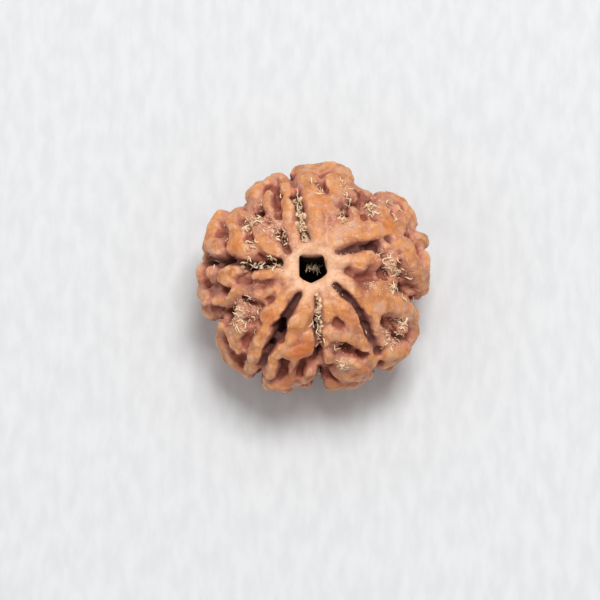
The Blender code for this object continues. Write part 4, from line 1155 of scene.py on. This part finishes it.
# The next two are painted shade for the creases and for the seams' depths; the last one is painted shade for
# the channel.
PAINTED_CREASE_SHADE = (0.20, 0.045, 0.024, 1.0)
PAINTED_SEAM_SHADE = (0.05, 0.016, 0.014, 1.0)
POWDER_CREAM = (0.74, 0.49, 0.32, 1.0)
PAINTED_CHANNEL_SHADE = (0.02, 0.008, 0.008, 1.0)


def scaled(tree, value, share):
    """A number times a fixed share."""
    return maths(tree, "MULTIPLY", value, share)


def laid_over(tree, colour, layer, value, limits, most):
    """The colour with another over it where the value rises between the limits, and at most that much."""
    return mixed(tree, scaled(tree, ramp(tree, value, *limits), most), colour, layer)


def new_material(name):
    """A material, its node tree and its surface shader."""
    material = bpy.data.materials.new(name)
    material.use_nodes = True
    return material, material.node_tree, material.node_tree.nodes["Principled BSDF"]


def crown_colour(tree, mottle):
    """Pale tan wood, orange where it stands out and in patches, with brown stains, pale peach on the most
    convex crests that is partly wear and partly painted highlight, and deep orange patches that are partly
    painted shade.
    """
    patches = scaled(tree, grain(tree, 1.9, 2.0, 0.5, 0.8), 2.2)
    patches = maths(tree, "SUBTRACT", patches, mask(tree, "hollow"))
    colour = mixed(tree, ramp(tree, patches, 0.95, 1.6), CROWN_TAN, CROWN_ORANGE)
    stains = maths(tree, "ADD", grain(tree, 1.3, 3.0, 0.6), scaled(tree, mottle, 0.3))
    colour = laid_over(tree, colour, CROWN_BROWN, stains, (0.55, 0.78), 0.8)
    # Partly painted highlight: pale peach on the most convex crests, over some real wear.
    worn_and_highlight = maths(tree, "SUBTRACT", scaled(tree, mottle, 1.2), mask(tree, "hollow"))
    colour = laid_over(tree, colour, WORN_AND_HIGHLIGHT_PEACH, worn_and_highlight, (1.1, 1.6), 0.5)
    # Deep orange at the listed patches: the wood's own deeper orange, and on the stone's lower, near side
    # painted shade as well.
    deep_orange_and_shade = maths(tree, "ADD", mask(tree, "deep_orange_and_shade"), scaled(tree, mottle, 0.9))
    return laid_over(tree, colour, DEEP_ORANGE_AND_SHADE, deep_orange_and_shade, (0.5, 1.25), 0.9)


def ground_colour(tree, mottle):
    """The rough ground: pink and mauve, with pale powder and dark specks."""
    colour = mixed(tree, ramp(tree, mottle, 0.38, 0.6), LOW_MAUVE, FLANK_PINK)
    return laid_over(tree, colour, POWDER_CREAM, grain(tree, 0.2, 4.0, 0.7), (0.5, 0.62), 0.8)


def upper_colour(tree, mottle, occlusion):
    """Crowns over pink flanks and mauve ground, with darker brown patches and the pale collar. The flank pink
    and low mauve are laid where little sky reaches: partly the wood's own colour, partly painted shade.
    """
    colour = crown_colour(tree, mottle)
    # Partly painted shade: pink, then mauve, laid where little sky reaches, over the wood's own pinker flanks
    # and ground.
    colour = laid_over(tree, colour, FLANK_PINK, occlusion, (0.05, 0.28), 0.85)
    colour = laid_over(tree, colour, LOW_MAUVE, occlusion, (0.22, 0.48), 0.85)
    ground = maths(tree, "MULTIPLY", mask(tree, "valley"), ramp(tree, mask(tree, "height"), 1.1, 0.4))
    colour = mixed(tree, ground, colour, ground_colour(tree, mottle))
    # Darker brown at the listed patches, nearly all over pits, grooves and valleys.
    dark_patch = maths(tree, "ADD", mask(tree, "dark_patch"), scaled(tree, mottle, 0.9))
    colour = laid_over(tree, colour, PATCH_BROWN, dark_patch, (0.5, 1.15), 0.85)
    collar = maths(tree, "MULTIPLY", mask(tree, "collar"), ramp(tree, mottle, 0.2, 0.6))
    return mixed(tree, scaled(tree, collar, 0.85), colour, WORN_AND_HIGHLIGHT_PEACH)


def darkened(tree, colour, mottle, occlusion):
    """The colour with painted shade in the creases, deep in the seams and in the channel, and pale dust where
    crumbs lie.
    """
    # Painted shade: dark in hollows and where little sky reaches, nearly black deep in the seams and in the
    # channel.
    seam = maths(tree, "MULTIPLY", mask(tree, "seam"), ramp(tree, mask(tree, "height"), 0.5, -0.2))
    line = maths(tree, "SUBTRACT", mask(tree, "hollow"), scaled(tree, mottle, 0.5))
    line = scaled(tree, ramp(tree, line, 0.1, 0.7), 0.75)
    dark = maths(tree, "MAXIMUM", ramp(tree, occlusion, 0.45, 0.8), line)
    colour = mixed(tree, scaled(tree, dark, 0.9), colour, PAINTED_CREASE_SHADE)
    colour = mixed(tree, scaled(tree, seam, 0.85), colour, PAINTED_SEAM_SHADE)
    dust = maths(tree, "ADD", mask(tree, "crumb"), scaled(tree, grain(tree, 0.22, 4.0, 0.7), 0.9))
    colour = laid_over(tree, colour, POWDER_CREAM, dust, (0.75, 1.2), 0.75)
    return mixed(tree, mask(tree, "bore"), colour, PAINTED_CHANNEL_SHADE)


def stone_wood():
    """Polished tan and orange crowns over pink flanks and mauve ground, with painted shade in the creases,
    the seams and the channel.
    """
    material, tree, shader = new_material("stone_wood")
    mottle = grain(tree, 0.55, 4.0, 0.65, 0.5)
    # The occlusion, how little sky reaches each point, paints shade into the colour and also makes the wood
    # rougher.
    occlusion = maths(tree, "SUBTRACT", 1.25, mask(tree, "open"))
    occlusion = maths(tree, "SUBTRACT", occlusion, scaled(tree, mottle, 0.5))
    colour = darkened(tree, upper_colour(tree, mottle, occlusion), mottle, occlusion)
    tree.links.new(colour, shader.inputs["Base Color"])
    rough = ramp(tree, maths(tree, "ADD", occlusion, scaled(tree, grain(tree, 0.6), 0.5)), 0.1, 0.9)
    tree.links.new(maths(tree, "ADD", scaled(tree, rough, 0.42), 0.36), shader.inputs["Roughness"])
    relief = maths(tree, "ADD", grain(tree, 0.3, 4.0, 0.6), scaled(tree, grain(tree, 0.9), 0.8))
    bump = add_node(tree, "ShaderNodeBump", {"Height": relief, "Strength": 0.7, "Distance": 0.0001})
    tree.links.new(bump.outputs["Normal"], shader.inputs["Normal"])
    return material


stone.materials.clear()
stone.materials.append(stone_wood())
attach(seed, "root")
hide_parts("rudraksha_seed")

# The dry scraps
# Fibres, crumbs and felt of the fruit's dried flesh, which stay in the valleys, pits and seams when the stone
# is cleaned. They are scattered over drawn patches on the crown, and in deep hollows elsewhere.

# Places of straws and of crumbs, as (right, up, reach, how many of a dense patch's).
STRAW_PATCHES = (
    (0.4, 8.4, 0.4, 1.0),
    (0.95, 7.5, 0.3, 0.5),
    (2.6, 8.4, 0.45, 0.6),
    (3.5, 6.8, 0.35, 0.8),
    (2.7, 5.4, 0.45, 1.0),
    (2.9, 4.8, 0.3, 0.7),
    (4.6, 6.5, 0.5, 0.6),
    (5.75, 6.0, 0.7, 1.0),
    (7.7, 6.0, 0.4, 0.8),
    (7.9, 4.9, 0.3, 0.6),
    (6.6, 1.7, 0.5, 0.5),
    (7.5, 0.9, 0.6, 0.8),
    (8.2, -0.2, 0.5, 1.0),
    (9.0, -0.4, 0.5, 0.9),
    (7.6, -2.0, 0.5, 1.0),
    (8.2, -2.7, 0.45, 0.9),
    (8.9, -5.4, 0.5, 1.0),
    (8.1, -6.8, 0.7, 1.0),
    (7.2, -6.5, 0.4, 0.7),
    (5.2, -5.9, 0.2, 0.5),
    (0.65, -6.9, 0.4, 1.0),
    (2.5, -7.8, 0.45, 0.8),
    (3.1, -9.3, 0.5, 0.9),
    (-5.1, 6.2, 0.4, 0.7),
    (-3.2, 7.5, 0.25, 0.5),
    (-6.7, 4.4, 0.5, 0.9),
    (-5.4, 4.6, 0.5, 0.6),
    (-4.2, 4.0, 0.5, 1.0),
    (-3.2, 3.2, 0.45, 1.0),
    (-2.8, 2.7, 0.35, 0.8),
    (-6.1, 2.5, 0.4, 0.6),
    (-9.0, 3.8, 0.4, 0.9),
    (-8.4, 3.0, 0.35, 0.6),
    (-9.3, 0.7, 0.35, 0.7),
    (-8.3, 0.7, 0.35, 0.7),
    (-4.3, 0.9, 0.45, 0.9),
    (-3.5, 0.4, 0.35, 0.7),
    (-9.4, -2.4, 0.45, 0.6),
    (-5.9, -2.5, 0.3, 0.5),
    (-7.1, -4.3, 1.2, 0.2),
    (-7.05, -5.3, 0.4, 0.7),
    (-6.2, -6.3, 0.35, 0.6),
    (-3.2, -6.3, 0.4, 0.8),
    (-0.2, -5.3, 0.3, 0.5),
)
CRUMB_PATCHES = (
    (2.0, -2.45, 0.5, 1.1),
    (3.7, 4.4, 0.5, 0.8),
    (3.4, 1.7, 0.4, 0.7),
    (5.75, 6.0, 0.8, 0.4),
    (5.9, -1.8, 0.7, 0.7),
    (7.8, 0.2, 0.9, 0.5),
    (8.2, -2.4, 0.8, 0.5),
    (8.3, -6.2, 0.9, 0.5),
    (2.9, -8.9, 0.6, 0.6),
    (-4.0, 3.9, 0.8, 0.5),
    (-6.6, 4.6, 0.8, 0.4),
    (-7.1, -4.3, 1.3, 0.55),
    (-7.8, -8.6, 0.5, 0.5),
    (-8.8, 3.4, 0.5, 0.5),
)

# Stretches of the seams that are filled with felt, as (right, up).
FELT_PATHS = (
    ((-0.7, 2.8), (-1.05, 4.6), (-1.4, 6.2), (-1.75, 8.3)),
    ((0.5, -2.2), (0.5, -4.0), (0.7, -6.0)),
    ((-6.5, 0.45), (-5.5, 0.5), (-4.3, 0.6)),
)
FELT_REACH = 0.34

# The tuft stands on the channel's far wall, three millimetres below the rim.
TUFT_ROOT = (0.2, 0.33, 4.5)
TUFT_REACH = 0.4
PATCHES_DOWN_TO = 1.0
ELSEWHERE = 0.3
ELSEWHERE_OPEN = 0.5
ELSEWHERE_SPREAD = 0.15
ELSEWHERE_PATCH = 1.6
ELSEWHERE_CONTRAST = 3
STRAWS_ELSEWHERE = 11
CRUMBS_ELSEWHERE = 23
FELT_LEVEL = 0.25


def elsewhere_mask(points, open_share, place):
    """Patches in the deep hollows of the sides and the underside, where the drawing doesn't reach."""
    hidden = smooth_step((ELSEWHERE_OPEN - open_share) / ELSEWHERE_SPREAD)
    patchy = smooth_step(wave(points + place, ELSEWHERE_PATCH) * ELSEWHERE_CONTRAST)
    return ELSEWHERE * hidden * patchy * (points[:, 2] < PATCHES_DOWN_TO)


def scrap_mask(patches, place):
    """How thickly scraps lie at each of the stone's points. None lie in the channel."""
    share = np.maximum(patch_mask(patches, points), elsewhere_mask(points, masks["open"], place))
    return share * (1 - masks["bore"])


felt_tree = tree_of(np.vstack([drawn_line(drawing) for drawing in FELT_PATHS]))
felt_share = bell(gaps_to(felt_tree, surface), FELT_REACH)
add_mask(stone, "straw", scrap_mask(STRAW_PATCHES, STRAWS_ELSEWHERE))
add_mask(stone, "crumb", scrap_mask(CRUMB_PATCHES, CRUMBS_ELSEWHERE))
add_mask(stone, "tuft", bell(np.linalg.norm(points - np.array(TUFT_ROOT), axis=1), TUFT_REACH))
add_mask(stone, "felt", felt_share * (1 - masks["bore"]) * (height < FELT_LEVEL))


def scatter_tree(name, numbers):
    """A geometry tree with a geometry socket each way and the numbers as inputs, and its input node."""
    tree = bpy.data.node_groups.new(name, "GeometryNodeTree")
    tree.interface.new_socket("Geometry", in_out="INPUT", socket_type="NodeSocketGeometry")
    tree.interface.new_socket("Geometry", in_out="OUTPUT", socket_type="NodeSocketGeometry")
    for number in numbers:
        tree.interface.new_socket(number, in_out="INPUT", socket_type="NodeSocketFloat")
    return tree, tree.nodes.new("NodeGroupInput").outputs


def finish_tree(tree, geometry, material):
    """Ends a geometry tree: real faces of one material."""
    real = add_node(tree, "GeometryNodeRealizeInstances", {"Geometry": geometry}).outputs[0]
    covered = add_node(tree, "GeometryNodeSetMaterial", {"Geometry": real, "Material": material}).outputs[0]
    tree.links.new(covered, tree.nodes.new("NodeGroupOutput").inputs[0])


def grown(carrier, tree, values):
    """The mesh that the tree makes on the carrier mesh with those values of its inputs."""
    guide = in_scene("grown_guide", carrier)
    modifier = guide.modifiers.new("grow", "NODES")
    modifier.node_group = tree
    for item in tree.interface.items_tree:
        if item.in_out == "INPUT" and item.name in values:
            modifier[item.identifier] = values[item.name]
    return mesh_of(guide)


def chance_between(tree, low, high, seed, kind="FLOAT"):
    """A random number or vector for each element."""
    least, most, result = {"FLOAT": (2, 3, 1), "FLOAT_VECTOR": (0, 1, 0)}[kind]
    inputs = {least: low, most: high, "Seed": seed}
    return add_node(tree, "FunctionNodeRandomValue", inputs, data_type=kind).outputs[result]


def stored(tree, name):
    """A number that the geometry carries."""
    return add_node(tree, "GeometryNodeInputNamedAttribute", {"Name": name}, data_type="FLOAT").outputs[0]


def vector_scaled(tree, vector, share):
    """A vector times a number."""
    return add_node(tree, "ShaderNodeVectorMath", {0: vector, "Scale": share}, operation="SCALE").outputs[0]


def moved(tree, geometry, offset):
    """The geometry with its points moved."""
    return add_node(tree, "GeometryNodeSetPosition", {"Geometry": geometry, "Offset": offset}).outputs[0]


def scattered_points(tree, given, mask_name, seed):
    """Points on the carrier's faces, as thick as the mask says and lifted a little, and their turns."""
    share = maths(tree, "MULTIPLY", stored(tree, mask_name), given["Per Area"])
    inputs = {"Mesh": given["Geometry"], "Density": share, "Seed": seed}
    spread = add_node(tree, "GeometryNodeDistributePointsOnFaces", inputs).outputs
    placed = moved(tree, spread["Points"], vector_scaled(tree, spread["Normal"], given["Lift"]))
    return placed, spread["Rotation"]


def turned(tree, rotation, low, high, seed):
    """The rotation with a random tilt and spin in its own frame."""
    by = chance_between(tree, low, high, seed, "FLOAT_VECTOR")
    node = add_node(tree, "FunctionNodeRotateRotation", {0: rotation, 1: by}, rotation_space="LOCAL")
    return node.outputs[0]


def toned(tree, instances, seed):
    """Gives each instance its own random tone, which its material reads."""
    inputs = {"Geometry": instances, "Name": "tone", "Value": chance_between(tree, 0.0, 1.0, seed)}
    settings = {"data_type": "FLOAT", "domain": "INSTANCE"}
    return add_node(tree, "GeometryNodeStoreNamedAttribute", inputs, **settings).outputs[0]


def strewn(tree, points, shape, rotation, size, seed):
    """The shape set on every point, each with its own tone, as real geometry."""
    inputs = {"Points": points, "Instance": shape, "Rotation": rotation, "Scale": size}
    laid = toned(tree, add_node(tree, "GeometryNodeInstanceOnPoints", inputs).outputs[0], seed)
    return add_node(tree, "GeometryNodeRealizeInstances", {"Geometry": laid}).outputs[0]


def wobbled(tree, geometry, length, amount):
    """The geometry with its points shifted by noise, differently for each tone."""
    tone = scaled(tree, stored(tree, "tone"), TONE_SPREAD)
    inputs = {"W": tone, "Scale": 1 / (length * MM), "Detail": 0.0}
    shade = add_node(tree, "ShaderNodeTexNoise", inputs, noise_dimensions="4D").outputs["Color"]
    middle = add_node(tree, "ShaderNodeVectorMath", {0: shade, 1: (0.5, 0.5, 0.5)}, operation="SUBTRACT")
    return moved(tree, geometry, vector_scaled(tree, middle.outputs[0], amount))


TONE_SPREAD = 40.0
STRAW_JOINTS = 7
LYING = ((0.0, -0.15, 0.0), (0.0, 0.5, math.tau))
STANDING = ((0.0, -1.4, 0.0), (0.0, -0.5, math.tau))
STRAW_LENGTHS = (0.35 * MM, 0.95 * MM)
STRAW_CURL_LENGTH = 0.5
STRAW_BELLY = 3.0
STRAW_TIP = 0.25
STRAW_SECTION = (1.0, 0.5, 1.0)


def straws_tree(mask_name, tilts, seed, material):
    """Short curled straws, tapered at both ends and scattered by a mask."""
    tree, given = scatter_tree("straws", ("Per Area", "Lift", "Width", "Curl"))
    points, rotation = scattered_points(tree, given, mask_name, seed)
    ends = {"Start": (-0.5, 0.0, 0.0), "End": (0.5, 0.0, 0.0)}
    line = add_node(tree, "GeometryNodeCurvePrimitiveLine", ends)
    jointed = add_node(tree, "GeometryNodeResampleCurve", {"Curve": line.outputs[0], "Count": STRAW_JOINTS})
    rotation = turned(tree, rotation, *tilts, seed)
    length = chance_between(tree, *STRAW_LENGTHS, seed + 1)
    loose = strewn(tree, points, jointed.outputs[0], rotation, length, seed + 2)
    curled = wobbled(tree, loose, STRAW_CURL_LENGTH, given["Curl"])
    along = add_node(tree, "GeometryNodeSplineParameter").outputs["Factor"]
    bulge = maths(tree, "MULTIPLY", along, maths(tree, "SUBTRACT", 1.0, along))
    bulge = maths(tree, "ADD", scaled(tree, bulge, STRAW_BELLY), STRAW_TIP)
    width = maths(tree, "MULTIPLY", bulge, given["Width"])
    ring = add_node(tree, "GeometryNodeCurvePrimitiveCircle", {"Resolution": 4, "Radius": 1.0}).outputs[0]
    flat = add_node(tree, "GeometryNodeTransform", {"Geometry": ring, "Scale": STRAW_SECTION}).outputs[0]
    inputs = {"Curve": curled, "Profile Curve": flat, "Scale": width, "Fill Caps": True}
    finish_tree(tree, add_node(tree, "GeometryNodeCurveToMesh", inputs).outputs[0], material)
    return tree


CRUMB_TILTS = ((0.0, 0.0, 0.0), (math.tau, math.tau, math.tau))
CRUMB_SHAPES = ((0.5, 0.5, 0.35), (1.3, 1.0, 0.8))
CRUMB_WOBBLE_LENGTH = 0.16


def crumbs_tree(mask_name, subdivisions, seed, material):
    """Small uneven crumbs, scattered by a mask."""
    tree, given = scatter_tree("crumbs", ("Per Area", "Lift", "Size", "Uneven"))
    points, rotation = scattered_points(tree, given, mask_name, seed)
    inputs = {"Radius": 1.0, "Subdivisions": subdivisions}
    ball = add_node(tree, "GeometryNodeMeshIcoSphere", inputs).outputs[0]
    shape = chance_between(tree, *CRUMB_SHAPES, seed + 1, "FLOAT_VECTOR")
    rotation = turned(tree, rotation, *CRUMB_TILTS, seed)
    loose = strewn(tree, points, ball, rotation, vector_scaled(tree, shape, given["Size"]), seed + 2)
    finish_tree(tree, wobbled(tree, loose, CRUMB_WOBBLE_LENGTH, given["Uneven"]), material)
    return tree


def scrap_material(name, pale, dark, roughness):
    """Dry matter whose tone varies from scrap to scrap and a little along each."""
    material, tree, shader = new_material(name)
    tone = maths(tree, "ADD", mask(tree, "tone"), scaled(tree, grain(tree, 0.3), 0.5))
    tree.links.new(mixed(tree, ramp(tree, tone, 0.45, 1.4), pale, dark), shader.inputs["Base Color"])
    shader.inputs["Roughness"].default_value = roughness
    return material


def scraps(name, tree, values):
    """A piece of scattered scraps, which rides with the stone."""
    mesh = grown(stone, tree, values)
    mesh.shade_smooth()
    piece = in_scene(name, mesh)
    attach(piece, "root")
    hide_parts("rudraksha_seed")


PER_MM = 1 / MM**2
straw_dry = scrap_material("straw_dry", (0.95, 0.77, 0.53, 1.0), (0.62, 0.36, 0.20, 1.0), 0.5)
crumb_dry = scrap_material("crumb_dry", (0.80, 0.61, 0.44, 1.0), (0.52, 0.30, 0.19, 1.0), 0.8)
felt_dry = scrap_material("felt_dry", (0.78, 0.58, 0.36, 1.0), (0.40, 0.23, 0.13, 1.0), 0.9)
values = {"Per Area": 20.0 * PER_MM, "Lift": 0.1 * MM, "Width": 0.075 * MM, "Curl": 0.9 * MM}
scraps("dry_straws", straws_tree("straw", LYING, 3, straw_dry), values)
values = {"Per Area": 22.0 * PER_MM, "Lift": 0.02 * MM, "Size": 0.09 * MM, "Uneven": 0.1 * MM}
scraps("dry_crumbs", crumbs_tree("crumb", 1, 17, crumb_dry), values)
values = {"Per Area": 9.0 * PER_MM, "Lift": 0.0, "Size": 0.34 * MM, "Uneven": 0.3 * MM}
scraps("seam_felt", crumbs_tree("felt", 2, 29, felt_dry), values)
values = {"Per Area": 9.0 * PER_MM, "Lift": 0.25 * MM, "Width": 0.075 * MM, "Curl": 0.9 * MM}
scraps("seam_straws", straws_tree("felt", LYING, 41, straw_dry), values)
values = {"Per Area": 70.0 * PER_MM, "Lift": 0.45 * MM, "Width": 0.085 * MM, "Curl": 0.9 * MM}
scraps("channel_tuft", straws_tree("tuft", STANDING, 5, straw_dry), values)

# The paper, the light and the camera
# The stone lies on a sheet of white paper with a faint grain, under soft light from above and behind. The
# camera looks down at it through a long lens.
PAPER_SIZE = 0.8
FRAME_WIDTH = 59.1
LENS = 300.0
SENSOR = 36.0
RIM_IN_PICTURE = (1.25, 3.0)
FIBRE_STRETCH = (1.0, 0.35, 1.0)
FIBRE_SCALE = 900.0
PAPER_SHADE = (0.625, 0.645, 0.67, 1.0)
PAPER_WHITE = (0.675, 0.695, 0.72, 1.0)
ROOM_COLOUR = (1.0, 0.975, 0.95, 1.0)
ROOM_STRENGTH = 0.5
LAMPS_AIM = (0.0, 0.0, 0.008)


def white_paper():
    """Matt paper with a faint long grain."""
    material, tree, shader = new_material("paper")
    place = add_node(tree, "ShaderNodeTexCoord").outputs["Object"]
    stretched = add_node(tree, "ShaderNodeMapping", {"Vector": place, "Scale": FIBRE_STRETCH}).outputs[0]
    inputs = {"Vector": stretched, "Scale": FIBRE_SCALE, "Detail": 3.0}
    fibre = add_node(tree, "ShaderNodeTexNoise", inputs).outputs["Fac"]
    tone = mixed(tree, ramp(tree, fibre, 0.3, 0.7), PAPER_SHADE, PAPER_WHITE)
    tree.links.new(tone, shader.inputs["Base Color"])
    shader.inputs["Roughness"].default_value = 0.85
    bump = add_node(tree, "ShaderNodeBump", {"Height": fibre, "Strength": 0.35, "Distance": 0.0001})
    tree.links.new(bump.outputs["Normal"], shader.inputs["Normal"])
    return material


sheet = bmesh.new()
bmesh.ops.create_grid(sheet, x_segments=1, y_segments=1, size=PAPER_SIZE / 2)
paper = in_scene("paper", mesh_from(sheet, "paper"))
paper.data.materials.append(white_paper())

rim = Vector((0.0, -CHANNEL_AHEAD, RIM_LEVEL)) * MM + shift
towards_camera = Vector((0.0, -math.cos(VIEW_ELEVATION), math.sin(VIEW_ELEVATION)))
picture_up = Vector((0.0, math.sin(VIEW_ELEVATION), math.cos(VIEW_ELEVATION)))
aim = rim - Vector((RIM_IN_PICTURE[0] * MM, 0.0, 0.0)) - picture_up * RIM_IN_PICTURE[1] * MM
camera = in_scene("camera", bpy.data.cameras.new("camera"))
camera.data.lens = LENS
camera.data.sensor_width = SENSOR
camera.data.clip_start = 0.01
camera.location = aim + towards_camera * FRAME_WIDTH * MM * LENS / SENSOR
camera.rotation_euler = (math.pi / 2 - VIEW_ELEVATION, 0.0, 0.0)
bpy.context.scene.camera = camera


def softbox(name, place, size, power, colour):
    """A square lamp that faces the stone."""
    lamp = bpy.data.lights.new(name, "AREA")
    lamp.shape = "SQUARE"
    lamp.size = size
    lamp.energy = power
    lamp.color = colour
    light = in_scene(name, lamp)
    light.location = place
    light.rotation_euler = (Vector(LAMPS_AIM) - Vector(place)).to_track_quat("-Z", "Y").to_euler()


softbox("window", (0.045, 0.095, 0.41), 0.15, 1.42, (1.0, 0.99, 0.97))
softbox("reflector", (-0.25, -0.12, 0.22), 0.3, 0.1, (0.97, 0.98, 1.0))

world = bpy.data.worlds.new("room")
world.use_nodes = True
world.node_tree.nodes["Background"].inputs["Color"].default_value = ROOM_COLOUR
world.node_tree.nodes["Background"].inputs["Strength"].default_value = ROOM_STRENGTH
bpy.context.scene.world = world
bpy.context.scene.view_settings.view_transform = "Standard"
